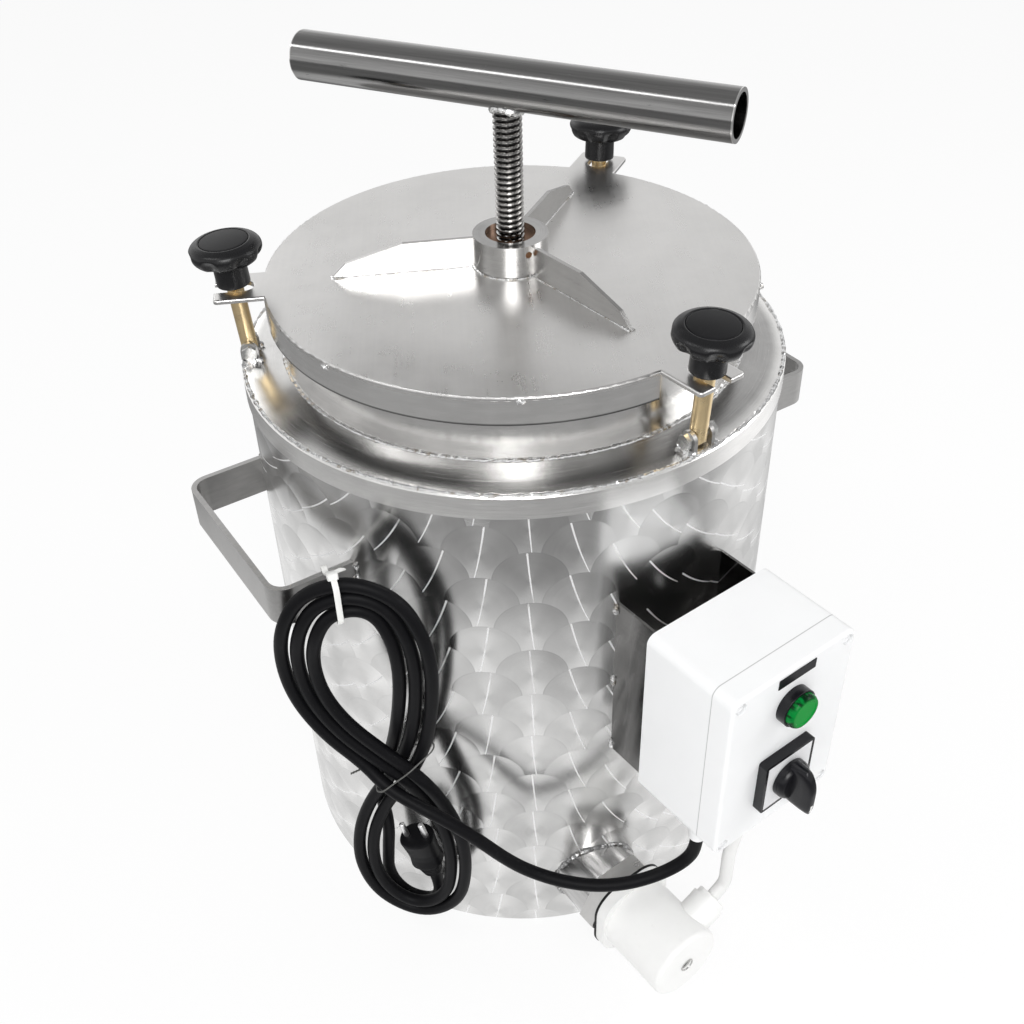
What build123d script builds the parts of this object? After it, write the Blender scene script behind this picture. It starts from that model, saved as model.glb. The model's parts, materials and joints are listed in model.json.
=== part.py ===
from build123d import *
from math import ceil, cos, hypot, pi, radians, sin, sqrt, tan
import os

# A wax melter with a screw press, in millimetres.
# Origin: centre of the base on the floor. +Z is up, and the control box faces -Y.
# A bearing is an angle about Z from -Y, positive towards +X.

# Clearances
run_gap = 0.05          # radial gap of a shaft in its hole
slide_gap = 0.3         # gap between pieces that move past or rest on each other

# Outer vessel
shell_radius = 200.0
shell_wall = 1.5
base_thickness = 2.0
shoulder_height = 458.0     # outer edge of the top cover
hoop_height = 18.0          # flange of the top cover, turned down over the shell
hoop_wall = 1.5
shoulder_rise = 5.0         # fall of the cover from the neck to its outer edge
shoulder_round = 4.0

# Inner pot, whose top is the neck that carries the lid
pot_radius = 169.5
pot_wall = 1.5
pot_floor_height = 110.0
pot_floor_thickness = 2.0
neck_rise = 50.8            # neck above the outer edge of the cover

# Basket for the wax
basket_radius = 155.0
basket_wall = 1.0
basket_height = 300.0
basket_rim_radius = 3.0
slot_columns = 20
slot_rows = 4
slot_length = 44.0
slot_width = 4.0
rack_radius = 140.0
rack_height = 12.0
rack_wall = 2.0

# Lid
lid_thickness = 3.0
lid_radius = 177.6
lid_turn = 0.8              # bearing of the first tongue
lid_band_height = 18.0
lid_band_wall = 2.0
gasket_height = 3.9
gasket_width = 7.0
tongue_count = 3
tongue_reach = 211.5
tongue_width = 39.0
tongue_slot_width = 13.4
tongue_slot_start = 184.0
tongue_round = 3.0
plate_edge_round = 1.4

# Boss, nut and ribs on the lid
boss_radius = 27.0
boss_height = 24.0
nut_radius = 18.0
nut_recess = 4.5
rib_thickness = 3.0
rib_height = 22.3
rib_flat_end = 77.0
rib_slope_end = 118.0
rib_slope_height = 10.5
rib_tip = 129.0
set_screw_radius = 2.5
set_screw_bearing = -9.0
set_screw_drop = 6.7

# Press screw and tee handle
screw_radius = 10.0
thread_lead = 4.0
thread_depth = 2.0
thread_crest = 1.4
thread_root = 1.5
thread_bottom = 300.0
tee_radius = 16.85
tee_wall = 2.9
tee_length = 316.0
tee_height = 645.0
tee_bearing = 27.4
spigot_radius = 7.0
collar_radius = 12.0
collar_height = 4.5

# Press plate
plate_radius = 146.0
plate_thickness = 5.0
plate_height = 250.0
plate_hub_radius = 25.0
keeper_thickness = 4.0
keeper_screw_radius = 2.5
keeper_head_height = 3.0
plate_hole_radius = 5.0
plate_hole_rows = ((50.0, 8), (85.0, 14), (120.0, 20))

# Swing bolts
pin_radius = 3.0
pin_circle = 194.0
pin_rise = 10.0             # pin above the outer edge of the cover
bolt_radius = 6.0
bolt_lean = 3.5             # outward lean of a closed bolt, in degrees
ear_thickness = 3.0
ear_radius = 6.5
pin_head_flats = 10.0
pin_head_height = 4.0
swing_gap = 0.2

# Star knobs
knob_radius = 25.7
knob_hub_radius = 12.0
knob_hub_height = 16.0
knob_disc_height = 17.0
knob_lobes = 7
knob_scallop_radius = 11.0
knob_scallop_depth = 4.0
knob_edge_round = 3.0
knob_cap_radius = 17.0
knob_cap_height = 2.0
knob_bore_depth = 20.0
insert_wall = 2.0

# Carrying handles
handle_turn = -3.6          # bearing of the handles' line from the X axis
handle_reach = 246.0
handle_width = 154.0
handle_bar_height = 31.0
handle_bar_thickness = 4.0
handle_top = 377.4
handle_corner = 15.0

# Control box on its bracket
box_offset = -11.7          # centre of the box along X
box_front = 310.3           # front face of the cover from the axis
box_bottom = 207.3
box_width = 114.0
box_height = 152.0
box_depth = 78.6
box_wall = 3.0
box_corner = 7.0
cover_depth = 18.2
cover_edge_round = 2.5
seal_width = 1.5
seal_height = 1.0
corner_recess_radius = 4.5
corner_recess_depth = 4.0
corner_inset = 7.5
cover_screw_radius = 2.0
cover_head_radius = 3.4
cover_head_height = 2.5
cover_screw_length = 22.0
screw_post_radius = 5.0
bracket_width = 95.6
bracket_bottom = 206.5
bracket_height = 148.6
bracket_thickness = 2.0
bracket_screw_radius = 2.5
bracket_screw_spacing = 100.0
bracket_head_height = 3.0

# Pilot lamp
lamp_height = 325.0
lamp_bezel_radius = 14.5
lamp_bezel_height = 7.5
lamp_rim = 1.2              # bezel around the lens
lamp_lens_height = 5.0
lamp_stem_radius = 11.0
lamp_nut_width = 3.0
lamp_body_length = 32.0

# Rotary switch
switch_height = 258.3
switch_plate_size = 47.0
switch_plate_height = 7.2
switch_rim = 2.5            # frame around the face plate
switch_face_thickness = 0.8
switch_collar_radius = 15.0
switch_collar_height = 8.0
lever_length = 39.0
lever_width = 10.0
lever_rise = 23.5
switch_shaft_radius = 3.0
switch_body_size = 42.0
switch_body_length = 30.0

# Blank label
label_width = 34.2
label_height = 8.0
label_thickness = 0.6
label_centre = 351.0
label_offset = 1.2

# Terminal block inside the box
terminal_length = 60.0
terminal_width = 16.0
terminal_height = 14.0

# Heater port, element and terminal cover
heater_offset = -68.0       # axis of the heater along X
heater_height = 54.1
port_radius = 31.75
port_wall = 2.0
port_end = 211.0            # end of the port from the vessel's axis plane
flange_flats = 64.0
flange_thickness = 15.0
heater_gasket_thickness = 2.0
heater_gasket_lip = 0.5     # gasket past the cover's base
cover_base_size = 67.0
cover_base_corner = 22.0
cover_base_thickness = 9.0
heater_cover_radius = 31.2
heater_cover_wall = 3.0
heater_cover_end = 297.0
heater_cover_round = 4.0
end_screw_radius = 4.5
element_radius = 4.25
element_spread = 14.0
element_reach = 330.0
element_count = 2
element_gap = 18.0

# Glands and the white heater cable
gland_place = 275.0         # heater gland from the vessel's axis plane
gland_rise = 25.0           # upward angle of the heater gland, in degrees
gland_radius = 14.0
gland_length = 15.5
gland_nut_radius = 12.0
gland_nut_length = 5.0
heater_cable_radius = 5.3
heater_cable_entry = 6.0    # along X
cable_knee = 9.0            # straight run of the cable past its gland
cable_drop = 14.0           # straight run of the cable below the box
cable_points = [(-7.8, 87.0), (-8.2, 101.0), (-8.0, 126.0), (-0.5, 153.0)]  # x and z, chosen by hand
gland_hex = 22.0
gland_hex_height = 6.0
gland_thread_radius = 8.0
gland_drop = 18.0           # glands below the box
mains_gland_x = -42.0
mains_gland_y = -270.0

# Mains cord: black, round, chosen by hand from the box to the hank
cord_radius = 5.0
relief_length = 22.0
relief_wall = 3.0
lead_points = [
    (-42.0, -270.0, 151.0),
    (-47.5, -266.0, 136.0),
    (-62.0, -258.0, 124.5),
    (-83.0, -247.0, 118.0),
    (-105.0, -232.0, 116.0),
    (-125.0, -213.0, 118.5),
    (-142.0, -194.5, 126.0),
]

# Hank: a figure of eight that hangs on an upright plane in front of the shell
hank_bearing = -49.5
hank_distance = 224.0
hank_pitch = 11.8
hank_turns = 2              # whole turns
hank_part_turn = 12         # stations of the part turn after them
hank_middle = 1.25          # turns from the start to the one that runs through the stations
# One turn of the figure of eight: along the plane, height, and outwards from it
hank_stations = [
    (-38, 209, 4), (-58, 230, 7), (-84, 256, 8), (-101, 287, 8), (-105, 323, 9), (-98, 355, 12),
    (-85, 378, 9), (-61, 387, 4), (-38, 377, 0), (-25, 351, 0), (-21, 318, -1), (-25, 274, -4),
    (-34, 230, -8), (-51, 189, -9), (-70, 157, -8), (-82, 119, -3), (-82, 79, 0), (-67, 48, 1),
    (-38, 36, 1), (-12, 57, 0), (-5, 98, -1), (-8, 140, -2), (-21, 176, -2),
]
# From the box's run into the hank, and from its last turn to the plug
hank_lead_in = [(38, 142, 14), (16, 168, 18), (-6, 185, 19), (-28, 196, 18), (-50, 205, 14)]
tail_points = [
    (-53, 216, -15), (-67, 180, -19), (-70, 148, -20), (-66, 116, -19), (-69, 84, -17),
    (-71, 53, -15), (-56, 29, -14), (-31, 30, -13), (-24, 55, -11), (-29, 79, -9),
]

# Mains plug, hanging pins up in the lower loop
plug_radius = 14.0
plug_length = 36.0
plug_neck_radius = 7.0
plug_neck_length = 12.0
plug_pin_radius = 2.4
plug_pin_length = 15.0
plug_pin_spacing = 16.0

# Ties
tie_width = 4.0
tie_thickness = 1.2
tie_place = -74.4           # along the hank's plane
tie_turn = 32.0             # slant of the tie's plane, in degrees
tie_back = -33.0            # outwards from the hank's plane
tie_front = 14.1
tie_low = 364.3             # at the front, under the innermost turn
tie_high = 400.4
tie_round = 4.5             # cut of its corners round the turns
tie_slack = 2.0             # gap between the tie and the handle's bar
waist_place = -41.0         # along the hank's plane
waist_level = 215.0
waist_slant = 36.0          # rise of the waist tie along the hank's plane, in degrees
waist_tie_height = 2.4
# Inside of the waist tie, close round the crossing: along its slant, and outwards from the hank's plane
waist_loop = [
    (-32.6, -20.2), (-27.0, -23.2), (-17.0, -22.7), (21.5, -14.0), (26.9, -10.4), (26.8, -4.3),
    (9.5, 9.9), (-10.0, 19.2), (-14.5, 19.2), (-19.3, 15.5), (-32.6, -15.5),
]

# Outlet and filler on the hidden side
outlet_radius = 16.85
outlet_wall = 2.9
outlet_reach = 250.0
outlet_rise = 20.0          # outlet axis above the pot's floor
filler_radius = 13.0
filler_height = 420.0
filler_reach = 215.0
filler_plug_radius = 8.0
filler_plug_flats = 22.0
filler_plug_head = 8.0

# Levels and lengths that follow from the sizes above
neck_top = shoulder_height + neck_rise
lid_bottom = neck_top + slide_gap + gasket_height
lid_top = lid_bottom + lid_thickness
boss_top = lid_top + boss_height
pot_floor_top = pot_floor_height + pot_floor_thickness
pin_height = shoulder_height + pin_rise
box_back = box_front - box_depth
box_middle = box_bottom + box_height / 2
neck_foot = shoulder_height + shoulder_rise
outlet_level = pot_floor_top + outlet_rise
plate_top = plate_height + plate_thickness
tongue_bearings = [lid_turn + 360 / tongue_count * index for index in range(tongue_count)]
hub_reach = (
    hypot(tongue_reach - plate_edge_round - pin_circle, lid_top - plate_edge_round - pin_height)
    + plate_edge_round
    + swing_gap
)


def save(name, shape):
    """Write one sub-part, made of one solid or several, to its own file."""
    solids = shape if isinstance(shape, list) else [shape]
    solids = [solid for part in solids for solid in part.solids()]
    export_step(solids[0] if len(solids) == 1 else Compound(children=solids), f"parts/{name}.step")


def turned(shape, bearing):
    """Carry a shape built on the -Y side round to its bearing."""
    return Rot(0, 0, bearing) * shape


def polar(radius, bearing, height):
    """Point at a radius, bearing and height."""
    return Vector(radius * sin(radians(bearing)), -radius * cos(radians(bearing)), height)


def disc(radius, bottom, top):
    """Upright cylinder on the axis between two levels."""
    return Pos(0, 0, (bottom + top) / 2) * Cylinder(radius, top - bottom)


def tube(outer, inner, bottom, top):
    """Upright tube on the axis between two levels."""
    return disc(outer, bottom, top) - disc(inner, bottom - 1, top + 1)


def block(x_low, x_high, y_low, y_high, z_low, z_high):
    """Rectangular block between its six faces."""
    middle = Pos((x_low + x_high) / 2, (y_low + y_high) / 2, (z_low + z_high) / 2)
    return middle * Box(x_high - x_low, y_high - y_low, z_high - z_low)


def forward(x, z, start, end):
    """Location of a piece that points to -Y, whose middle lies between two distances from the axis plane."""
    return Pos(x, -(start + end) / 2, z) * Rot(90, 0, 0)


def forward_disc(x, z, radius, start, end):
    """Cylinder along -Y between two distances from the vessel's axis plane."""
    return forward(x, z, start, end) * Cylinder(radius, end - start)


def revolved(points):
    """Solid of revolution of an outline of (radius, height) points."""
    outline = make_face(Polyline(*[(radius, 0, height) for radius, height in points], close=True))
    return revolve(outline, Axis.Z)


def back_disc(radius, start, end, level):
    """Cylinder along +Y between two distances from the vessel's axis plane."""
    return Pos(0, (start + end) / 2, level) * Rot(90, 0, 0) * Cylinder(radius, end - start)


def hexagon(flats):
    """Regular hexagon of a width across its flats."""
    return RegularPolygon(flats / 2, 6, major_radius=False)


def corner_radii(points):
    """Largest even arcs that fit a route's corners."""
    radii = []
    for before, corner, after in zip(points, points[1:], points[2:]):
        into = Vector(*corner) - Vector(*before)
        out = Vector(*after) - Vector(*corner)
        turn = radians(into.get_angle(out))
        radii.append(0.45 * min(into.length, out.length) / tan(turn / 2))
    return radii


def cord_tube(name, points, radius):
    """Round tube along straight runs and tangent arcs, with its radii and length printed."""
    radii = corner_radii(points)
    path = FilletPolyline(*[tuple(point) for point in points], radius=radii)
    start = Vector(*points[0])
    section = Plane(start, z_dir=Vector(*points[1]) - start) * Circle(radius)
    solid = sweep(section, path)
    print(name, "length", round(path.length, 1), "radii", [round(value) for value in radii],
          "volume ratio", round(solid.volume / (pi * radius**2 * path.length), 4))
    return solid


def hank_point(along, height, outwards):
    """Point of the hank's upright plane."""
    angle = radians(hank_bearing)
    reach = hank_distance + outwards
    x = reach * sin(angle) + along * cos(angle)
    y = -reach * cos(angle) + along * sin(angle)
    return Vector(x, y, height)


def hank_route():
    """Corner points of the hank: each turn repeats the stations, one pitch further to its right."""
    count = len(hank_stations)
    route = [hank_point(*point) for point in hank_lead_in]
    for step in range(1, hank_turns * count + hank_part_turn):
        before = hank_stations[(step - 1) % count]
        here = hank_stations[step % count]
        after = hank_stations[(step + 1) % count]
        run = (after[0] - before[0], after[1] - before[1])
        shift = hank_pitch * (hank_middle - step / count) / hypot(*run)
        route.append(hank_point(here[0] - run[1] * shift, here[1] + run[0] * shift, here[2]))
    return route + [hank_point(*point) for point in tail_points]


def biarc(start, way_in, end, way_out):
    """Two tangent arcs between two points with their directions, or a line where they are straight."""
    span = end - start
    if way_in.get_angle(way_out) < 0.5 and way_in.get_angle(span) < 0.5:
        return [Edge.make_line(start, end)]
    ways = way_in + way_out
    curl = 2 * (1 - way_in.dot(way_out))
    if curl < 1e-9:
        reach = span.dot(span) / (4 * span.dot(way_out))
    else:
        along = span.dot(ways)
        reach = (sqrt(along**2 + curl * span.dot(span)) - along) / curl
    middle = (start + way_in * reach + end - way_out * reach) / 2
    first = Edge.make_tangent_arc(start, way_in, middle)
    return [first, Edge.make_tangent_arc(middle, first % 1, end)]


def hank_path(start, route):
    """Smooth path through the middles of the route's runs, straight at both ends."""
    points = [start] + route
    middles = [(one + two) / 2 for one, two in zip(points, points[1:])]
    ways = [(two - one).normalized() for one, two in zip(points, points[1:])]
    edges = [Edge.make_line(start, middles[0])]
    for index in range(len(middles) - 1):
        edges += biarc(middles[index], ways[index], middles[index + 1], ways[index + 1])
    edges.append(Edge.make_line(middles[-1], points[-1]))
    return Wire(edges)


def self_gap(path, diameter):
    """Least distance between the surfaces of a cord's stretches that lie beside each other."""
    count = ceil(path.length / 4)
    points = [path @ (index / count) for index in range(count + 1)]
    apart = ceil(3 * diameter / 4)
    least = min((points[one] - points[two]).length
                for one in range(count + 1) for two in range(one + apart, count + 1))
    return least - diameter


def vessel():
    """Shell in two halves, base, sloped top cover with its hoop, and the pot that the cover carries."""
    shell_top = shoulder_height - hoop_wall
    shell = tube(shell_radius, shell_radius - shell_wall, 0, shell_top)
    shell -= back_disc(outlet_radius, 0, outlet_reach, outlet_level)
    shell -= back_disc(filler_radius, 0, filler_reach, filler_height)
    shell -= forward_disc(heater_offset, heater_height, port_radius, 0, port_end)
    front = block(-2 * shell_radius, 2 * shell_radius, -2 * shell_radius, 0, -1, shell_top + 1)
    save("outer_shell", shell & front)
    save("shell_back", shell - front)
    save("base_plate", disc(shell_radius - shell_wall, 0, base_thickness))

    hoop_outer = shell_radius + hoop_wall
    bevel = shoulder_round / 2
    save("top_cover", revolved([
        (shell_radius, shoulder_height - hoop_height),
        (hoop_outer, shoulder_height - hoop_height),
        (hoop_outer, shoulder_height - bevel),
        (hoop_outer - bevel, shoulder_height),
        (pot_radius, neck_foot),
        (pot_radius, neck_foot - hoop_wall),
        (shell_radius - bevel, shell_top),
        (shell_radius, shell_top),
    ]))

    pot = tube(pot_radius, pot_radius - pot_wall, pot_floor_height, neck_top)
    pot += disc(pot_radius, pot_floor_height, pot_floor_top)
    save("inner_pot", pot - back_disc(outlet_radius, 0, outlet_reach, outlet_level))


def back_fittings():
    """Wax outlet pipe and the water filler with its plug, both behind the vessel."""
    pipe = back_disc(outlet_radius, pot_radius - pot_wall, outlet_reach, outlet_level)
    pipe -= back_disc(outlet_radius - outlet_wall, 0, outlet_reach + 1, outlet_level)
    save("wax_outlet", pipe)

    start = shell_radius - shell_wall - 1
    socket = back_disc(filler_radius, start, filler_reach, filler_height)
    socket -= back_disc(filler_plug_radius + run_gap, 0, filler_reach + 1, filler_height)
    head = Pos(0, filler_reach, filler_height) * Rot(-90, 0, 0) * extrude(
        hexagon(filler_plug_flats), filler_plug_head)
    plug = head + back_disc(filler_plug_radius, start + 2, filler_reach, filler_height)
    save("water_filler", [socket, plug])


def wax_basket():
    """Pierced basket on a ring that keeps it off the pot's floor."""
    bottom = pot_floor_top + rack_height
    top = bottom + basket_height
    basket = tube(basket_radius, basket_radius - basket_wall, bottom, top)
    basket += disc(basket_radius, bottom, bottom + basket_wall)
    basket += Pos(0, 0, top) * Torus(basket_radius, basket_rim_radius)
    pitch = basket_height / slot_rows
    slots = []
    for column in range(slot_columns):
        bearing = 360 / slot_columns * column
        for row in range(slot_rows):
            slot = Pos(0, -basket_radius, bottom + pitch * (row + 0.5)) * Box(
                slot_width, 6 * basket_wall, slot_length)
            slots.append(turned(slot, bearing))
        floor_slot = Pos(0, -0.65 * basket_radius, bottom) * Box(slot_width, slot_length, 6 * basket_wall)
        slots.append(turned(floor_slot, bearing))
    rack = tube(rack_radius, rack_radius - rack_wall, pot_floor_top, bottom)
    for index in range(4):
        notch = Pos(0, -rack_radius, pot_floor_top) * Box(2 * rack_height, 6 * rack_wall, rack_height)
        rack -= turned(notch, 45 + 90 * index)
    save("basket", [basket - slots, rack])


def lid():
    """Lid plate with slotted tongues, its band and gasket, the boss with its nut, and the ribs."""
    plate = disc(lid_radius, lid_bottom, lid_top)
    slot_half = tongue_slot_width / 2
    slot_middle = tongue_slot_start + slot_half
    for bearing in tongue_bearings:
        tongue = block(-tongue_width / 2, tongue_width / 2, -tongue_reach, -0.9 * lid_radius, lid_bottom, lid_top)
        tongue = fillet(tongue.edges().filter_by(Axis.Z).group_by(Axis.Y)[0], tongue_round)
        plate += turned(tongue, bearing)
    for bearing in tongue_bearings:
        slot = block(-slot_half, slot_half, -tongue_reach - 5, -slot_middle, lid_bottom - 1, lid_top + 1)
        slot += Pos(0, -slot_middle, (lid_bottom + lid_top) / 2) * Cylinder(slot_half, lid_thickness + 2)
        plate -= turned(slot, bearing)
    plate -= disc(screw_radius + 2, lid_bottom - 1, lid_top + 1)
    rim = plate.edges().filter_by(
        lambda edge: abs(edge.center().Z - lid_top) < 1e-4 and hypot(edge.center().X, edge.center().Y) > boss_radius)
    save("lid_plate", fillet(rim, plate_edge_round))

    band_bottom = lid_bottom - lid_band_height
    band = tube(lid_radius, lid_radius - lid_band_wall, band_bottom, lid_bottom)
    for bearing in tongue_bearings:
        gap = block(-tongue_width / 2, tongue_width / 2, -lid_radius - 5, -0.9 * lid_radius,
                    band_bottom - 1, lid_bottom + 1)
        band -= turned(gap, bearing)
    save("lid_band", band)
    seat = pot_radius - pot_wall / 2
    save("lid_gasket", tube(seat + gasket_width / 2, seat - gasket_width / 2, lid_bottom - gasket_height, lid_bottom))

    drill = Pos(0, -boss_radius, boss_top - set_screw_drop) * Rot(90, 0, 0) * Cylinder(
        set_screw_radius, boss_radius)
    boss = tube(boss_radius, nut_radius + run_gap, lid_top, boss_top)
    save("press_boss", boss - turned(drill, set_screw_bearing))
    depth = boss_radius - nut_radius - run_gap
    screw = Pos(0, -boss_radius + depth / 2, boss_top - set_screw_drop) * Rot(90, 0, 0) * Cylinder(
        set_screw_radius, depth - plate_edge_round)
    nut = tube(nut_radius, screw_radius + run_gap, lid_top, boss_top - nut_recess)
    save("press_nut", [nut, turned(screw, set_screw_bearing)])

    outline = make_face(Polyline(
        (0, lid_top), (0, lid_top + rib_height), (rib_flat_end, lid_top + rib_height),
        (rib_slope_end, lid_top + rib_slope_height), (rib_tip, lid_top), close=True))
    rib = Rot(0, 0, -90) * Rot(90, 0, 0) * extrude(outline, rib_thickness / 2, both=True)
    rib -= disc(boss_radius, lid_top - 1, boss_top + 1)
    save("boss_ribs", [turned(rib, bearing) for bearing in tongue_bearings])


def press_screw():
    """Threaded screw, its tee handle, and the collar that the press plate holds."""
    root = screw_radius - thread_depth
    flank = (thread_lead - thread_crest - thread_root) / 2
    collar_bottom = plate_top + slide_gap
    collar_top = collar_bottom + collar_height
    outline = [(0, collar_bottom), (collar_radius, collar_bottom), (collar_radius, collar_top),
               (spigot_radius, collar_top), (spigot_radius, thread_bottom - thread_lead),
               (root, thread_bottom - thread_lead)]
    thread_top = tee_height - tee_radius - thread_lead
    for ridge in range(int((thread_top - thread_bottom) / thread_lead)):
        foot = thread_bottom + ridge * thread_lead
        outline += [(root, foot), (screw_radius, foot + flank), (screw_radius, foot + flank + thread_crest),
                    (root, foot + 2 * flank + thread_crest)]
    outline += [(root, tee_height), (0, tee_height)]
    bar = turned(Pos(0, 0, tee_height) * Rot(90, 0, 0) * Cylinder(tee_radius, tee_length), tee_bearing)
    bore = turned(Pos(0, 0, tee_height) * Rot(90, 0, 0) * Cylinder(
        tee_radius - tee_wall, tee_length + 2), tee_bearing)
    save("press_screw", revolved(outline) - bar)
    save("tee_handle", bar - bore)


def press_plate():
    """Pierced plate with a cup for the screw's collar, and the keeper that shuts the cup."""
    keeper_bottom = plate_top + slide_gap + collar_height + slide_gap
    keeper_top = keeper_bottom + keeper_thickness
    grip_depth = keeper_bottom - plate_top
    plate = disc(plate_radius, plate_height, plate_top)
    plate += tube(plate_hub_radius, collar_radius + slide_gap, plate_top, keeper_bottom)
    holes = [Pos(*polar(circle, 360 / count * index, 0)) * disc(plate_hole_radius, plate_height - 1, plate_top + 1)
             for circle, count in plate_hole_rows for index in range(count)]
    keeper_circle = (collar_radius + plate_hub_radius) / 2
    places = [Pos(*polar(keeper_circle, 90 * index, 0)) for index in range(4)]
    bores = [place * disc(keeper_screw_radius, plate_top, keeper_top + 1) for place in places]
    save("press_plate", plate - holes - bores)
    keeper = tube(plate_hub_radius, spigot_radius + slide_gap, keeper_bottom, keeper_top)
    save("keeper_ring", keeper - bores)
    screw = disc(keeper_screw_radius, keeper_bottom - 0.8 * grip_depth, keeper_top)
    screw += disc(1.7 * keeper_screw_radius, keeper_top, keeper_top + keeper_head_height)
    save("keeper_screws", [place * screw for place in places])


def swing_bolt(number, bearing):
    """Bolt and star knob of one tongue; gives back its clevis ears and their pin."""

    def leaned(shape):
        """Carry a shape built upright on the pin to the closed bolt's place."""
        return turned(Pos(0, -pin_circle, pin_height) * Rot(bolt_lean, 0, 0) * shape, bearing)

    across = Rot(0, 90, 0)
    ear_inside = bolt_radius + slide_gap
    half = ear_inside + ear_thickness
    drop = pin_rise + shoulder_rise
    under_cover = revolved([
        (0, 0), (shell_radius + hoop_wall, 0), (shell_radius + hoop_wall, shoulder_height - shoulder_round / 2),
        (shell_radius + hoop_wall - shoulder_round / 2, shoulder_height), (pot_radius, neck_foot), (0, neck_foot)])
    ears = []
    for side in (-1, 1):
        ear = across * Cylinder(ear_radius, ear_thickness)
        ear += Pos(0, 0, -drop / 2) * Box(ear_thickness, 2 * ear_radius, drop)
        ear -= across * Cylinder(pin_radius, ear_thickness + 2)
        ear = Pos(side * (ear_inside + ear_thickness / 2), -pin_circle, pin_height) * ear
        ears.append(turned(ear, bearing) - under_cover)

    pin = across * Cylinder(pin_radius, 2 * half)
    for side in (-1, 1):
        head = Rot(0, 90 * side, 0) * extrude(hexagon(pin_head_flats), pin_head_height)
        pin += Pos(side * half, 0, 0) * head
    pin = turned(Pos(0, -pin_circle, pin_height) * pin, bearing)

    rod_top = hub_reach + knob_bore_depth - 1
    rod = disc(bolt_radius, -bolt_radius, rod_top)
    rod &= disc(2 * bolt_radius, 0, rod_top) + across * Cylinder(bolt_radius, 4 * bolt_radius)
    rod -= across * Cylinder(pin_radius + run_gap, 4 * bolt_radius)
    save(f"swing_bolt_{number}", leaned(rod))

    insert_radius = bolt_radius + run_gap + insert_wall
    disc_bottom = hub_reach + knob_hub_height
    knob_top = disc_bottom + knob_disc_height
    grip = disc(knob_radius, disc_bottom, knob_top)
    for lobe in range(knob_lobes):
        scoop = Pos(0, -knob_radius - knob_scallop_radius + knob_scallop_depth, 0) * disc(
            knob_scallop_radius, disc_bottom - 1, knob_top + 1)
        grip -= turned(scoop, 360 / knob_lobes * (lobe + 0.5))
    rims = grip.edges().group_by(Axis.Z)
    grip = fillet(rims[-1] + rims[0], knob_edge_round)
    grip += disc(knob_hub_radius, hub_reach, disc_bottom)
    grip -= disc(knob_cap_radius, knob_top - knob_cap_height / 2, knob_top + 1)
    grip -= disc(insert_radius, hub_reach - 1, hub_reach + knob_bore_depth)
    sleeve = tube(insert_radius, bolt_radius + run_gap, hub_reach, hub_reach + knob_bore_depth)
    save(f"star_knob_{number}", [leaned(grip), leaned(sleeve)])
    cap = disc(knob_cap_radius, knob_top - knob_cap_height / 2, knob_top + knob_cap_height / 2)
    cap = fillet(cap.edges().group_by(Axis.Z)[-1], knob_cap_height / 3)
    save(f"knob_cap_{number}", leaned(cap))
    return ears, pin


def swing_bolts():
    """Three swing bolts, with the ears and pins that hold them on the cover."""
    ears = []
    pins = []
    for number, bearing in enumerate(tongue_bearings, 1):
        pair, pin = swing_bolt(number, bearing)
        ears += pair
        pins.append(pin)
    save("clevises", ears)
    save("clevis_pins", pins)


def carrying_handles():
    """Two flat bars bent to a U and welded to the shell."""
    bar_bottom = handle_top - handle_bar_height
    half = handle_width / 2
    depth = handle_bar_thickness
    outer = block(0, handle_reach, -half, half, bar_bottom, handle_top)
    outer = fillet(outer.edges().filter_by(Axis.Z).group_by(Axis.X)[-1], handle_corner)
    inner = block(-1, handle_reach - depth, depth - half, half - depth, bar_bottom - 1, handle_top + 1)
    inner = fillet(inner.edges().filter_by(Axis.Z).group_by(Axis.X)[-1], handle_corner - depth)
    bar = outer - inner - disc(shell_radius, 0, handle_top + 2)
    save("right_handle", turned(bar, handle_turn))
    save("left_handle", turned(bar, handle_turn + 180))


def box_prism(start, end, inset):
    """Rounded prism of the box's outline between two distances, drawn in by an inset."""
    outline = RectangleRounded(box_width - 2 * inset, box_height - 2 * inset, box_corner - inset)
    return forward(box_offset, box_middle, start, end) * extrude(outline, (end - start) / 2, both=True)


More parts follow.
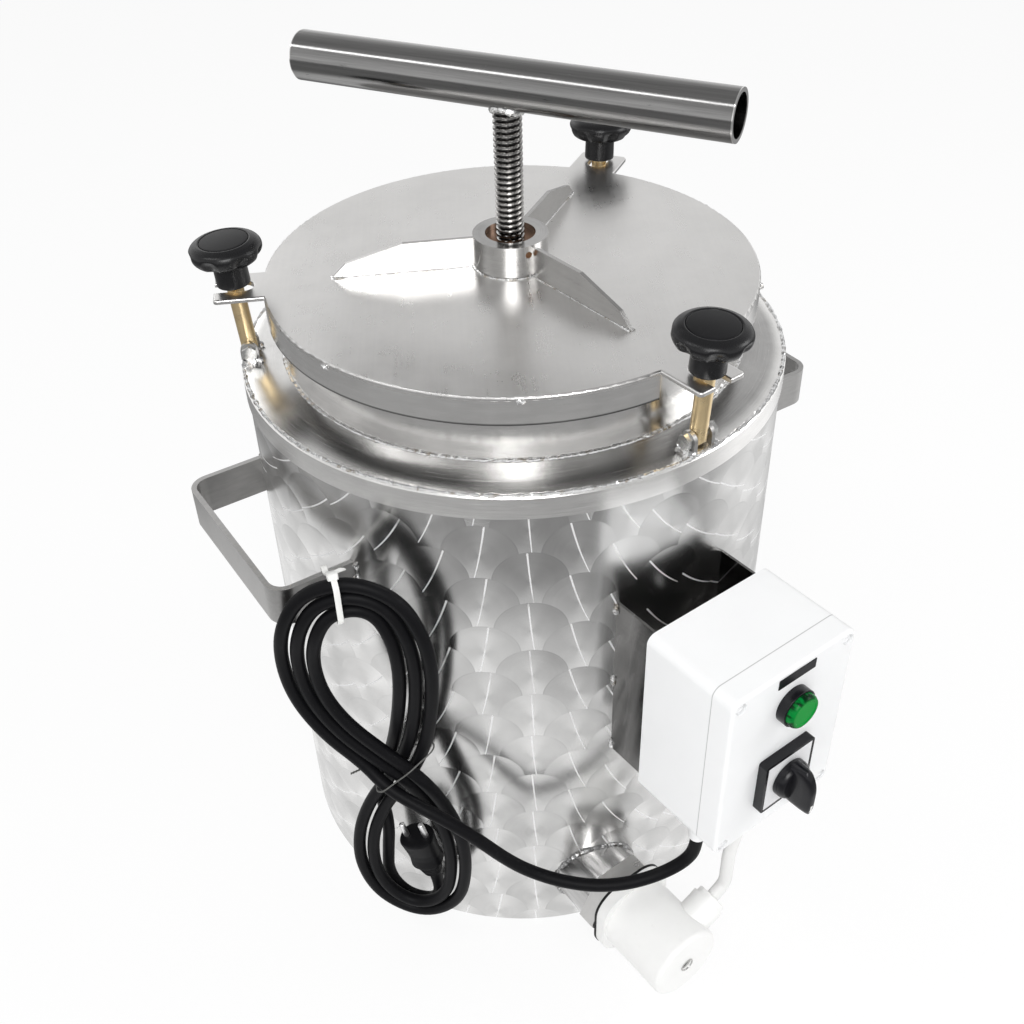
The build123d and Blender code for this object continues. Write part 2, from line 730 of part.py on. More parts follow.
def control_box():
    """Bracket, box base, cover, seal, screws, blank label and terminal block."""
    half = bracket_width / 2
    bracket_back = box_back - bracket_thickness
    bracket_top = bracket_bottom + bracket_height
    bracket = block(box_offset - half, box_offset + half, -box_back, 0, bracket_bottom, bracket_top)
    bracket -= block(box_offset - half + bracket_thickness, box_offset + half - bracket_thickness,
                     -bracket_back, 1, bracket_bottom - 1, bracket_top + 1)
    bracket -= disc(shell_radius, 0, shoulder_height)
    fixings = [(box_offset, box_middle + side * bracket_screw_spacing / 2) for side in (-1, 1)]
    floor = box_back + box_wall
    holes = [forward_disc(x, z, bracket_screw_radius, bracket_back - 1, floor + 1) for x, z in fixings]
    save("box_bracket", bracket - holes)
    screws = []
    for x, z in fixings:
        screw = forward_disc(x, z, bracket_screw_radius, bracket_back - 2 * bracket_head_height, floor)
        screw += forward_disc(x, z, 1.8 * bracket_screw_radius, floor, floor + bracket_head_height)
        screw += forward(x, z, bracket_back - bracket_head_height, bracket_back) * extrude(
            hexagon(3.2 * bracket_screw_radius), bracket_head_height / 2, both=True)
        screws.append(screw)

    seam = box_front - cover_depth
    inset_x = box_width / 2 - corner_inset
    inset_z = box_height / 2 - corner_inset
    corners = [(box_offset + side_x * inset_x, box_middle + side_z * inset_z)
               for side_x in (-1, 1) for side_z in (-1, 1)]
    seat = box_front - corner_recess_depth
    base = box_prism(box_back, seam, 0) - box_prism(floor, seam + 1, box_wall)
    for x, z in corners:
        base += forward_disc(x, z, screw_post_radius, box_back + box_wall / 2, seam)
    base &= box_prism(box_back, seam, 0)
    thread = [forward_disc(x, z, cover_screw_radius, seat - cover_screw_length - 1, box_front) for x, z in corners]
    entries = [Pos(x, y, box_bottom) * Cylinder(gland_thread_radius, 4 * box_wall)
               for x, y in ((mains_gland_x, mains_gland_y), (heater_cable_entry, -gland_place))]
    save("box_base", base - holes - thread - entries)

    cover = box_prism(seam, box_front, 0)
    cover = fillet(cover.faces().sort_by(Axis.Y)[0].edges(), cover_edge_round)
    shape = cover
    cover -= box_prism(seam - 1, box_front - box_wall, box_wall)
    for x, z in corners:
        cover += forward_disc(x, z, screw_post_radius, seam, box_front - box_wall / 2)
    cover &= shape
    recesses = [forward_disc(x, z, corner_recess_radius, seat, box_front + 1) for x, z in corners]
    middle = (box_wall - seal_width) / 2
    seal = box_prism(seam, seam + seal_height, middle)
    seal -= box_prism(seam - 1, seam + seal_height + 1, middle + seal_width)
    panel = [forward_disc(box_offset, lamp_height, lamp_stem_radius, seam, box_front + 1),
             forward_disc(box_offset, switch_height, 2 * switch_shaft_radius, seam, box_front + 1)]
    save("box_cover", cover - recesses - thread - seal - panel)
    posts = [forward_disc(x, z, screw_post_radius, seam - 1, seam + seal_height + 1) for x, z in corners]
    save("cover_seal", seal - posts)

    for x, z in corners:
        top = seat + cover_head_height
        screw = forward_disc(x, z, cover_screw_radius, seat - cover_screw_length, seat)
        screw += forward_disc(x, z, cover_head_radius, seat, top)
        slot = forward(x, z, top - cover_head_height / 2, top + 1) * Box(
            2 * cover_head_radius, cover_head_radius / 3, cover_head_height / 2 + 1)
        screws.append(screw - slot)
    save("box_screws", screws)

    name_x = box_offset + label_offset
    save("label_plate", block(name_x - label_width / 2, name_x + label_width / 2, -box_front - label_thickness,
                              -box_front, label_centre - label_height / 2, label_centre + label_height / 2))
    save("terminal_block", block(box_offset - terminal_length / 2, box_offset + terminal_length / 2,
                                 -floor - terminal_height, -floor,
                                 box_middle - terminal_width / 2, box_middle + terminal_width / 2))


def pilot_lamp():
    """Bezel, lens and body of the lamp."""
    x = box_offset
    z = lamp_height
    panel_back = box_front - box_wall
    stem_end = panel_back - lamp_body_length / 3
    bezel_front = box_front + lamp_bezel_height
    lens_back = bezel_front - lamp_lens_height / 3
    bezel = forward_disc(x, z, lamp_bezel_radius, box_front, bezel_front)
    bezel = fillet(bezel.edges().group_by(Axis.Y)[0], lamp_rim / 2)
    bezel += forward_disc(x, z, lamp_stem_radius - run_gap, stem_end, box_front)
    lens_radius = lamp_bezel_radius - lamp_rim
    save("lamp_bezel", bezel - forward_disc(x, z, lens_radius, lens_back, bezel_front + 1))
    lens = forward_disc(x, z, lens_radius, lens_back, bezel_front + lamp_lens_height)
    save("lamp_lens", fillet(lens.edges().group_by(Axis.Y)[0], 0.6 * lamp_lens_height))
    body = forward_disc(x, z, lamp_stem_radius + lamp_nut_width, panel_back - lamp_body_length, panel_back)
    save("lamp_body", body - forward_disc(x, z, lamp_stem_radius, stem_end, panel_back + 1))


def rotary_switch():
    """Frame, face plate, turning lever and switch body."""
    x = box_offset
    z = switch_height
    panel_back = box_front - box_wall
    face = box_front + switch_plate_height
    shaft_end = panel_back - switch_body_length / 3
    bore = forward_disc(x, z, switch_shaft_radius + slide_gap, shaft_end - slide_gap, face + 1)
    half = switch_plate_size / 2
    small = half - switch_rim
    frame = block(x - half, x + half, -face, -box_front, z - half, z + half)
    frame = fillet(frame.edges().filter_by(Axis.Y), switch_rim)
    plate = block(x - small, x + small, -face, switch_face_thickness - face, z - small, z + small)
    save("switch_frame", frame - plate - bore)
    save("switch_face", plate - bore)
    body_half = switch_body_size / 2
    body = block(x - body_half, x + body_half, -panel_back, switch_body_length - panel_back,
                 z - body_half, z + body_half)
    save("switch_body", body - bore)

    back = face + slide_gap
    lever = forward_disc(x, z, switch_collar_radius, back, back + switch_collar_height)
    lever = fillet(lever.edges().group_by(Axis.Y)[0], switch_collar_height / 4)
    fin = block(x - lever_width / 2, x + lever_width / 2, -face - lever_rise, -back - switch_collar_height / 4,
                z - lever_length / 2, z + lever_length / 2)
    lever += fillet(fin.edges().group_by(Axis.Y)[0], lever_width / 3.5)
    lever += forward_disc(x, z, switch_shaft_radius, shaft_end, back + 1)
    lever &= block(x - half, x + half, -face - lever_rise - 1, -shaft_end, z - half, z + half)
    save("switch_lever", lever)


def heater():
    """Port on the shell, flange, gasket, terminal cover with its screw, and the element in the water."""
    x = heater_offset
    z = heater_height
    flange_end = port_end + flange_thickness
    gasket_end = flange_end + heater_gasket_thickness
    port = forward_disc(x, z, port_radius, 0, port_end)
    port -= forward_disc(x, z, port_radius - port_wall, -1, port_end + 1)
    save("heater_port", port - disc(shell_radius - shell_wall, 0, 2 * z))
    save("heater_flange", forward(x, z, port_end, flange_end) * extrude(
        hexagon(flange_flats), flange_thickness / 2, both=True))
    loops = []
    for index in range(element_count):
        level = z + (index - (element_count - 1) / 2) * element_gap
        low = (x - element_spread, -port_end, level)
        turn = (x - element_spread, element_reach - port_end, level)
        path = Wire([
            Edge.make_line(low, turn),
            Edge.make_three_point_arc(turn, (x, turn[1] + element_spread, level), (x + element_spread, turn[1], level)),
            Edge.make_line((x + element_spread, turn[1], level), (x + element_spread, -port_end, level))])
        loops.append(sweep(Plane(low, z_dir=(0, 1, 0)) * Circle(element_radius), path))
    save("heating_element", loops)

    stud = forward_disc(x, z, end_screw_radius / 2, flange_end, heater_cover_end)
    gasket_size = cover_base_size + 2 * heater_gasket_lip
    gasket = forward(x, z, flange_end, gasket_end) * extrude(
        RectangleRounded(gasket_size, gasket_size, cover_base_corner + heater_gasket_lip),
        heater_gasket_thickness / 2, both=True)
    save("heater_gasket", gasket - stud)
    base_end = gasket_end + cover_base_thickness
    cover = forward_disc(x, z, heater_cover_radius, gasket_end, heater_cover_end)
    cover = fillet(cover.edges().group_by(Axis.Y)[0], heater_cover_round)
    cover += forward(x, z, gasket_end, base_end) * extrude(
        RectangleRounded(cover_base_size, cover_base_size, cover_base_corner), cover_base_thickness / 2, both=True)
    cover_floor = heater_cover_end - 2 * heater_cover_wall
    cover -= forward_disc(x, z, heater_cover_radius - heater_cover_wall, gasket_end - 1, cover_floor)
    seat = heater_cover_end - heater_cover_wall
    cover -= forward_disc(x, z, end_screw_radius, seat, heater_cover_end + 1)
    gland_base = Pos(x, -gland_place, z) * Rot(0, 90 - gland_rise, 0)
    cover -= gland_base * Pos(0, 0, heater_cover_radius) * Cylinder(heater_cable_radius, 4 * heater_cover_wall)
    save("heater_cover", cover - stud)
    screw = forward_disc(x, z, end_screw_radius, seat, heater_cover_end - heater_cover_wall / 3)
    slot = forward(x, z, seat + heater_cover_wall / 3, heater_cover_end) * Rot(0, 0, 40) * Box(
        2 * end_screw_radius, end_screw_radius / 4, 2 * heater_cover_wall / 3)
    save("end_screw", screw - slot + forward_disc(x, z, end_screw_radius / 2, flange_end, seat))

    barrel_end = heater_cover_radius + gland_length
    nut_end = barrel_end + gland_nut_length
    barrel = gland_base * Pos(0, 0, barrel_end / 2) * Cylinder(gland_radius, barrel_end)
    barrel -= forward_disc(x, z, heater_cover_radius, box_back, heater_cover_end)
    nut = Cylinder(gland_nut_radius, gland_nut_length)
    nut = fillet(nut.edges().group_by(Axis.Z)[-1], gland_nut_length / 4)
    barrel += gland_base * Pos(0, 0, (barrel_end + nut_end) / 2) * nut
    bore = gland_base * Pos(0, 0, nut_end / 2) * Cylinder(heater_cable_radius, nut_end + 2)
    save("heater_gland", barrel - bore)

    rise = radians(gland_rise)
    way = Vector(cos(rise), 0, sin(rise))
    centre = Vector(x, -gland_place, z)
    entry = Vector(heater_cable_entry, -gland_place, box_bottom - gland_drop)
    route = [centre + way * heater_cover_radius, centre + way * (nut_end + cable_knee)]
    route += [Vector(across, -gland_place, level) for across, level in cable_points]
    route += [entry - Vector(0, 0, cable_drop), entry]
    save("heater_cable", cord_tube("heater_cable", route, heater_cable_radius))


def box_glands():
    """Glands under the box, for the mains cord and for the heater's cable."""
    glands = []
    for x, y, bore, drop in ((mains_gland_x, mains_gland_y, cord_radius, gland_drop + relief_length),
                             (heater_cable_entry, -gland_place, heater_cable_radius, gland_drop)):
        here = Pos(x, y, 0)
        nut_bottom = box_bottom - gland_hex_height
        dome_bottom = box_bottom - gland_drop
        gland = Pos(x, y, nut_bottom) * extrude(hexagon(gland_hex), gland_hex_height)
        gland += here * disc(gland_hex / 2 - 1, dome_bottom, nut_bottom)
        gland += here * disc(gland_thread_radius, box_bottom, box_bottom + 3 * box_wall)
        gland += Pos(x, y, box_bottom + box_wall) * extrude(hexagon(gland_hex), gland_hex_height / 2)
        if drop > gland_drop:
            gland += Pos(x, y, dome_bottom - relief_length / 2) * Cone(
                bore + relief_wall / 2, bore + relief_wall, relief_length)
        glands.append(gland - here * disc(bore, box_bottom - drop - 1, box_bottom + 4 * box_wall))
    save("box_glands", glands)


def mains_cord():
    """Lead from the box to the hank, the hank itself, the plug on its end, and two ties."""
    exit_point = Vector(mains_gland_x, mains_gland_y, box_bottom - gland_drop - relief_length)
    route = hank_route()
    meeting = (Vector(*lead_points[-1]) + route[0]) / 2
    lead = [exit_point] + [Vector(*point) for point in lead_points] + [meeting]
    save("cord_lead", cord_tube("cord_lead", lead, cord_radius))

    path = hank_path(meeting, route)
    hank = sweep(Plane(meeting, z_dir=route[0] - meeting) * Circle(cord_radius), path)
    save("cord_hank", hank)
    print("cord_hank length", round(path.length, 1), "least self-gap", round(self_gap(path, 2 * cord_radius), 2),
          "volume ratio", round(hank.volume / (pi * cord_radius**2 * path.length), 4))
    bends = [edge.radius for edge in path.edges() if edge.geom_type == GeomType.CIRCLE]
    print("cord_hank tightest radius", round(min(bends), 1), "arcs", len(bends))

    neck = route[-1]
    way = (route[-1] - route[-2]).normalized()
    across = hank_point(1, 0, 0) - hank_point(0, 0, 0)
    stand = Plane(neck, x_dir=across, z_dir=way).location
    body_top = plug_neck_length + plug_length
    plug = Pos(0, 0, plug_neck_length / 2) * Cone(plug_neck_radius, plug_radius * 0.7, plug_neck_length)
    body = Pos(0, 0, plug_neck_length + plug_length / 2) * Cylinder(plug_radius, plug_length)
    plug += fillet(body.edges(), plug_radius / 4)
    for side in (-1, 1):
        plug += Pos(side * plug_pin_spacing / 2, 0, body_top + plug_pin_length / 2 - 1) * Cylinder(
            plug_pin_radius, plug_pin_length + 2)
    save("mains_plug", stand * plug)

    bar_low = handle_top - handle_bar_height - tie_slack
    bar_high = handle_top + tie_slack
    bar_side = tie_back + 2.5 * handle_bar_thickness
    inner = make_face(Polyline(
        (tie_back, bar_low), (bar_side, bar_low), (tie_front - 2 * tie_round, tie_low), (tie_front - tie_round, tie_low),
        (tie_front, tie_low + tie_round), (tie_front, tie_high - tie_round), (tie_front - tie_round, tie_high),
        (tie_front - 2 * tie_round, tie_high), (bar_side, bar_high), (tie_back, bar_high), close=True))
    band = extrude(offset(inner, tie_thickness) - inner, tie_width / 2, both=True)
    facing = hank_bearing + tie_turn
    plane = Plane(hank_point(tie_place, 0, 0), x_dir=polar(1, facing, 0), z_dir=polar(-1, facing + 90, 0))
    save("hank_tie", plane.location * band)
    slant = across * cos(radians(waist_slant)) + Vector(0, 0, sin(radians(waist_slant)))
    plane = Plane(hank_point(waist_place, waist_level, 0), x_dir=slant, z_dir=slant.cross(polar(1, hank_bearing, 0)))
    inner = make_face(Polyline(*waist_loop, close=True))
    loop = extrude(offset(inner, tie_thickness) - inner, waist_tie_height / 2, both=True)
    save("waist_tie", plane.location * loop)


os.makedirs("parts", exist_ok=True)
vessel()
back_fittings()
wax_basket()
lid()
press_screw()
press_plate()
swing_bolts()
carrying_handles()
control_box()
pilot_lamp()
rotary_switch()
heater()
box_glands()
mains_cord()
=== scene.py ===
import json
from math import atan2, cos, degrees, hypot, pi, radians, sin

import bpy
import numpy as np
from mathutils import Matrix, Vector


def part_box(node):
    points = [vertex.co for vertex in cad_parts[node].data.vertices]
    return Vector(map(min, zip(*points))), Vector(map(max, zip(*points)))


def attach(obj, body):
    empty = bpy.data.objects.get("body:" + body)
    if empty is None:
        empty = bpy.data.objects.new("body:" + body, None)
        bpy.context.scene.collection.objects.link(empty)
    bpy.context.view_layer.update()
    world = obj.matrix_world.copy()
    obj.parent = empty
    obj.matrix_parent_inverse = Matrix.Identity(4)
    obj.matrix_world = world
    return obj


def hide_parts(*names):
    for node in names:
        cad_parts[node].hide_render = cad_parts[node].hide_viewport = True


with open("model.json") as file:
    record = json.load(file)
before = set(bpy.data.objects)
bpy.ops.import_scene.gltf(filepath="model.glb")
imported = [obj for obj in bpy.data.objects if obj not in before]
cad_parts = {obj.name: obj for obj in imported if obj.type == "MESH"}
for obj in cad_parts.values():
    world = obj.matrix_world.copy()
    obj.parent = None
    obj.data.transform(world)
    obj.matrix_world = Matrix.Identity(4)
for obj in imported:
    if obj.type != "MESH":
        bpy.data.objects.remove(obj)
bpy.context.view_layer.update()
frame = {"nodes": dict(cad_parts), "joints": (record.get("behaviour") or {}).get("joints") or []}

nodes = frame["nodes"]
MM = 0.001


# Places that the frame gives, in millimetres

def limit(node, end, axis):
    """Lowest reach of a node (end 0) or its highest (end 1) along an axis."""
    return round(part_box(node)[end][axis] / MM, 1)


def centre(node, axis):
    """Middle of a node along an axis."""
    low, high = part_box(node)
    return round((low[axis] + high[axis]) / 2 / MM, 1)


SHELL_RADIUS = limit("outer_shell", 1, 0)
COVER_TOP = limit("top_cover", 1, 2)
BAND_FOOT = limit("lid_band", 0, 2)
LID_TOP = limit("lid_plate", 1, 2)
TEE_LEVEL = centre("tee_handle", 2)
BOX_X = centre("box_cover", 0)
BOX_SEAM = limit("box_cover", 1, 1)
LAMP_Z = centre("lamp_bezel", 2)
SWITCH_Z = centre("switch_face", 2)
HEATER_X = centre("heater_cover", 0)
HEATER_Z = centre("heater_cover", 2)


# Camera at the photograph's viewpoint

def added(name, data):
    """New object of some data, in the scene."""
    made = bpy.data.objects.new(name, data)
    bpy.context.scene.collection.objects.link(made)
    return made


def place_camera():
    """Camera from its place, turn about the vessel's axis, pitch, yaw, roll and focal length in pixels."""
    place = Matrix.Translation((-0.4724, -0.6384, 0.9169))
    pitch, yaw, roll, turn = (radians(angle) for angle in (38.45, -0.35, -1.75, -36.5))
    focal, picture, sensor = 1208, 1024, 36
    ahead = Vector((sin(yaw) * cos(pitch), cos(yaw) * cos(pitch), -sin(pitch)))
    right = Vector((cos(yaw), -sin(yaw), 0))
    up = right.cross(ahead)
    side = cos(roll) * right + sin(roll) * up
    top = -sin(roll) * right + cos(roll) * up
    axes = Matrix((side, top, -ahead)).transposed().to_4x4()
    data = bpy.data.cameras.new("view")
    data.sensor_width = sensor
    data.lens = focal / picture * sensor
    data.clip_start = 0.05
    camera = added("view", data)
    camera.matrix_world = place @ Matrix.Rotation(turn, 4, "Z") @ axes
    bpy.context.scene.camera = camera


place_camera()
bpy.context.scene.view_settings.view_transform = "Standard"


# Shader maths

class Field:
    """A number or colour that varies over a surface: one socket, with arithmetic on either side of it."""

    def __init__(self, graph, socket):
        self.graph, self.socket = graph, socket

    def math(self, operation, *others):
        return self.graph.node("Math", {"operation": operation}, [self, *others])

    def __add__(self, other):
        return self.math("ADD", other)

    def __sub__(self, other):
        return self.math("SUBTRACT", other)

    def __rsub__(self, other):
        return self.graph.node("Math", {"operation": "SUBTRACT"}, [other, self])

    def __mul__(self, other):
        return self.math("MULTIPLY", other)

    def __truediv__(self, other):
        return self.math("DIVIDE", other)

    def __pow__(self, other):
        return self.math("POWER", other)

    def __lt__(self, other):
        return self.math("LESS_THAN", other)

    def __gt__(self, other):
        return self.math("GREATER_THAN", other)

    def __abs__(self):
        return self.math("ABSOLUTE")

    __radd__ = __add__
    __rmul__ = __mul__

    def least(self, other):
        return self.math("MINIMUM", other)

    def most(self, other):
        return self.math("MAXIMUM", other)

    def ramp(self, low, high, start=0.0, end=1.0):
        """Smooth step from start to end as the field goes from low to high."""
        settings = {"interpolation_type": "SMOOTHSTEP"}
        return self.graph.node("MapRange", settings, [self, low, high, start, end])


class Graph:
    """A node tree being made, and the fields in it."""

    def __init__(self, tree):
        self.tree = tree

    def feed(self, socket, value):
        if isinstance(value, Field):
            self.tree.links.new(value.socket, socket)
        else:
            socket.default_value = value

    def node(self, kind, settings, inputs, output=0):
        """Any node: its settings first, then its sockets by name or number, and one output as a field."""
        made = self.tree.nodes.new("ShaderNode" + kind)
        for key, value in settings.items():
            setattr(made, key, value)
        for key, value in inputs.items() if isinstance(inputs, dict) else enumerate(inputs):
            self.feed(made.inputs[key], value)
        return Field(self, made.outputs[output])

    def place(self):
        """Object coordinates as three fields, in millimetres."""
        here = self.node("TexCoord", {}, {}, 3)
        return [self.node("SeparateXYZ", {}, [here], axis) * 1000 for axis in range(3)]

    def point(self, x, y, z):
        return self.node("CombineXYZ", {}, [x, y, z])

    def noise(self, where, scale=1.0, detail=3.0, rough=0.55):
        """Smooth noise about 0.5, of features about 1 / scale long."""
        inputs = {"Vector": where, "Scale": scale, "Detail": detail, "Roughness": rough}
        return self.node("TexNoise", {}, inputs)

    def chance(self, where):
        """One random number from 0 to 1 for each value of a vector."""
        return self.node("TexWhiteNoise", {}, {"Vector": where})

    def mix(self, share, first, second):
        """Colour from first to second as share goes from 0 to 1."""
        ends = [value if isinstance(value, Field) else (*value, 1) for value in (first, second)]
        return self.node("Mix", {"data_type": "RGBA"}, {0: share, 6: ends[0], 7: ends[1]}, 2)

    def grey(self, shade, tint=(1, 1, 1)):
        """Colour of a tint times a shade."""
        return self.node("VectorMath", {"operation": "SCALE"}, {0: tint, 3: shade})


class Finish(Graph):
    """A material being made: one Principled shader, and the fields that feed it."""

    def __init__(self, name, colour, roughness, metallic=0.0, **sockets):
        self.material = bpy.data.materials.new(name)
        self.material.use_nodes = True
        super().__init__(self.material.node_tree)
        self.shader = self.tree.nodes["Principled BSDF"]
        self.let(Base_Color=(*colour, 1), Roughness=roughness, Metallic=metallic, **sockets)

    def let(self, **sockets):
        """Set the shader's sockets; an underscore in a name stands for a space."""
        for name, value in sockets.items():
            self.feed(self.shader.inputs[name.replace("_", " ")], value)
        return self

    def bump(self, height, strength=1.0, depth=0.1, normal=None):
        """Relief from a height field; depth is the height of 1, in millimetres."""
        inputs = {"Strength": strength, "Distance": depth * MM, "Height": height}
        if normal is not None:
            inputs["Normal"] = normal
        return self.let(Normal=self.node("Bump", {}, inputs))


# Steel finishes

def swirl_ground():
    """Sheet ground with a disc in upright columns, alternate ones half a pitch out of step. The disc seen at
    a point is the lowest one within reach in the two nearest columns. Its shade holds a painted highlight: a
    bright fan about its middle, and a thin painted glint line across it, which leans by a sine of the
    bearing."""
    finish = Finish("ground_steel", (0.8, 0.8, 0.8), 0.22, 1)
    columns, pitch, reach = 38, 44.2, 26
    first_column, first_row = 0.364, 0.285
    most_lean, upright_at, line_end = 1.4, 0.646, 25.2
    out_of_reach = 20
    spacing = 2 * pi * SHELL_RADIUS / columns
    x, y, z = finish.place()
    bearing = x.math("ARCTAN2", 0 - y)
    column = bearing * (columns / (2 * pi)) - first_column
    level = z / pitch + first_row
    found = []
    for offset in (0, 1):
        near = column.math("FLOOR") + offset
        across = (column - near) * spacing
        step = near.math("FLOORED_MODULO", 2) * 0.5
        chord = (reach * reach - across * across).most(0).math("SQRT") / pitch
        row = (level - chord - step).math("CEIL") + step
        missed = row > level + chord
        found.append((across, (level - row) * pitch, row, near, row + missed * out_of_reach))
    first = found[0][4] < found[1][4]
    across, above, row, near = (b + first * (a - b) for a, b in zip(found[0][:4], found[1][:4]))
    luck = finish.chance(finish.point(near, row, 0.5))
    other_luck = finish.chance(finish.point(row, near, 7.5))

    # Painted highlight: the glint stands upright on the bearing that faces the camera and leans away from
    # there.
    lean = (bearing + upright_at).math("SINE") * -most_lean + (luck - 0.5) * 0.06
    angle = across.math("ARCTAN2", above) - lean
    far = (across * across + above * above).math("SQRT")
    # Painted highlight: a bright fan about the disc's middle, lightest along the glint's line.
    fan = ((angle * 2).math("COSINE") * 0.5 + 0.5) ** 3
    rings = finish.noise(finish.point(far * 0.4, near * 3.1, row * 5.7), 1, 2)
    here = finish.point(x, y, z)
    cloud = finish.noise(here, 0.016)
    line = abs(across * lean.math("COSINE") - above * lean.math("SINE"))
    width = above * 0.0107 + 0.47
    present = finish.noise(here, 0.05, 1).ramp(0.28, 0.44, 0.35, 0.9)
    # Painted highlight: a thin bright glint line through the disc's middle, drawn as pale, less metallic
    # colour.
    painted_glint = (line / width).ramp(0.75, 1.3, 1, 0) * present * (above < line_end)
    edge = far.ramp(reach - 1.2, reach - 0.2)
    shade = 0.61 + fan * 0.14 + (luck - 0.5) * 0.08 + (rings - 0.5) * 0.05
    shade = shade + (cloud - 0.5) * 0.45 - edge * 0.04
    finish.let(Base_Color=finish.mix(painted_glint, finish.grey(shade, (1, 0.995, 0.985)), (0.9, 0.9, 0.9)),
               Metallic=1 - painted_glint * 0.65,
               Roughness=0.2 + (rings - 0.5) * 0.04 + other_luck * 0.07 + painted_glint * 0.2)

    out = finish.node("NewGeometry", {}, {}, 1)
    slide = across * (0.042 / reach) + (luck - 0.5) * 0.035
    rise = above * (0.04 / reach) + (other_luck - 0.5) * 0.04
    tilt = finish.point(slide * bearing.math("COSINE"), slide * bearing.math("SINE"), rise)
    turned = finish.node("VectorMath", {"operation": "ADD"}, [out, tilt])
    turned = finish.node("VectorMath", {"operation": "NORMALIZE"}, [turned])
    finish.bump(rings, 0.05, 0.02, turned)
    return finish.material


def turned_steel(name, shade, roughness, streak=0.16, rim=None, step=0):
    """Sheet brushed round the vessel's axis: noise that changes slowly round it and quickly across. Above the
    level of a rim its tone changes by a step, which paints shade: the hoop's slope darker, and a painted
    shadow line below the rim of the lid's band."""
    finish = Finish(name, (shade,) * 3, roughness, 1)
    x, y, z = finish.place()
    reach = (x * x + y * y).math("SQRT")
    grain = finish.noise(finish.point(x * 0.02, y * 0.02, (z + reach) * 1.8), 1, 4, 0.6)
    cloud = finish.noise(finish.point(x, y, z), 0.022, 4)
    smear = finish.noise(finish.point(x * 0.05, y * 0.05, z * 0.22))
    tone = shade + (grain - 0.5) * streak + (cloud - 0.5) * 0.3 + (smear - 0.5) * 0.16
    # Painted shade: a step in tone at the rim's level.
    if rim:
        tone = tone + z.ramp(rim, rim + 1.5, 0, step)
    finish.let(Base_Color=finish.grey(tone, (1, 0.99, 0.975)), Roughness=roughness + (grain - 0.5) * 0.18)
    finish.bump(grain, 0.35, 0.05)
    return finish.material


def satin_steel(name, shade, roughness, way=(1, 0), streak=0.06):
    """Rolled sheet: soft clouds and faint rolling streaks along one direction."""
    finish = Finish(name, (shade,) * 3, roughness, 1)
    x, y, z = finish.place()
    along = x * way[0] + y * way[1]
    side = x * -way[1] + y * way[0]
    roll = finish.noise(finish.point(along * 0.01, side * 0.4, z * 0.4), 1, 2)
    cloud = finish.noise(finish.point(x, y, z), 0.011, 5, 0.6)
    blot = finish.noise(finish.point(x, y, z), 0.05, 3, 0.6)
    tone = shade + (cloud - 0.5) * 0.22 + (blot - 0.5) * 0.1 + (roll - 0.5) * streak
    finish.let(Base_Color=finish.grey(tone, (1, 0.988, 0.972)),
               Roughness=roughness + (blot - 0.5) * 0.16 + (roll - 0.5) * 0.1)
    finish.bump(roll + blot * 0.5, 0.05, 0.02)
    return finish.material


def pipe_steel(name, shade, roughness, axis, half=None):
    """Drawn pipe: streaks along its axis, darker mill bands, small dark pits, and bright cut ends at half
    its length."""
    finish = Finish(name, (shade,) * 3, roughness, 1)
    x, y, z = finish.place()
    along = x * axis[0] + y * axis[1]
    side = x * -axis[1] + y * axis[0]
    drawn = finish.noise(finish.point(along * 0.012, side * 0.55, z * 0.55), 1, 5, 0.65)
    fine = finish.noise(finish.point(along * 0.05, side * 2.6, z * 2.6), 1, 3, 0.6)
    pits = finish.noise(finish.point(along * 0.12, side * 0.45, z * 0.45), 1, 5, 0.75).ramp(0.62, 0.72)
    tone = shade + (drawn - 0.5) * 0.22 + (fine - 0.5) * 0.06 - pits * 0.14
    if half:
        tone = tone + abs(along).ramp(half - 0.9, half - 0.3, 0, 0.55)
    finish.let(Base_Color=finish.grey(tone.most(0.04), (1, 0.99, 0.98)),
               Roughness=roughness + (fine - 0.5) * 0.2 + pits * 0.2)
    finish.bump(fine - pits * 0.6, 0.2, 0.04)
    return finish.material


def weld_steel(name, shade):
    """Weld metal left as it set: bright and dark patches, ripples and heat tint."""
    finish = Finish(name, (0.6, 0.6, 0.6), 0.3, 1)
    x, y, z = finish.place()
    here = finish.point(x, y, z)
    patch = finish.noise(here, 0.16, 4, 0.7)
    ripple = finish.noise(here, 0.9, 3, 0.6)
    tone = shade + (patch - 0.5) * 0.8 + (ripple - 0.5) * 0.3
    tint = finish.mix(patch.ramp(0.34, 0.46), (0.7, 0.64, 0.56), (1, 1, 1))
    finish.let(Base_Color=finish.grey(tone.most(0.1).least(0.97), tint),
               Roughness=0.26 + (ripple - 0.5) * 0.2)
    finish.bump(ripple + patch, 0.5, 0.15)
    return finish.material


def machined(name, colour, roughness, spread=0.2, marking=0.15, root=None):
    """Turned or cut metal: fine tool marks, with clouds of tarnish, and painted shade in a thread below its
    root radius."""
    finish = Finish(name, colour, roughness, 1)
    x, y, z = finish.place()
    marks = finish.noise(finish.point(x * 0.06, y * 0.06, z * 2.4))
    tarnish = finish.noise(finish.point(x, y, z), 0.09, 4, 0.6)
    tone = 1 + (marks - 0.5) * marking + (tarnish - 0.5) * spread * 2
    # Painted shade: the thread darkens below its root radius, where its roots lie in shade.
    if root:
        tone = tone * (x * x + y * y).math("SQRT").ramp(root, root + 1, 0.12, 1)
    finish.let(Base_Color=finish.grey(tone, colour), Roughness=roughness + (tarnish - 0.5) * 0.3)
    finish.bump(marks, 0.3, 0.04)
    return finish.material


# Plastic and rubber finishes

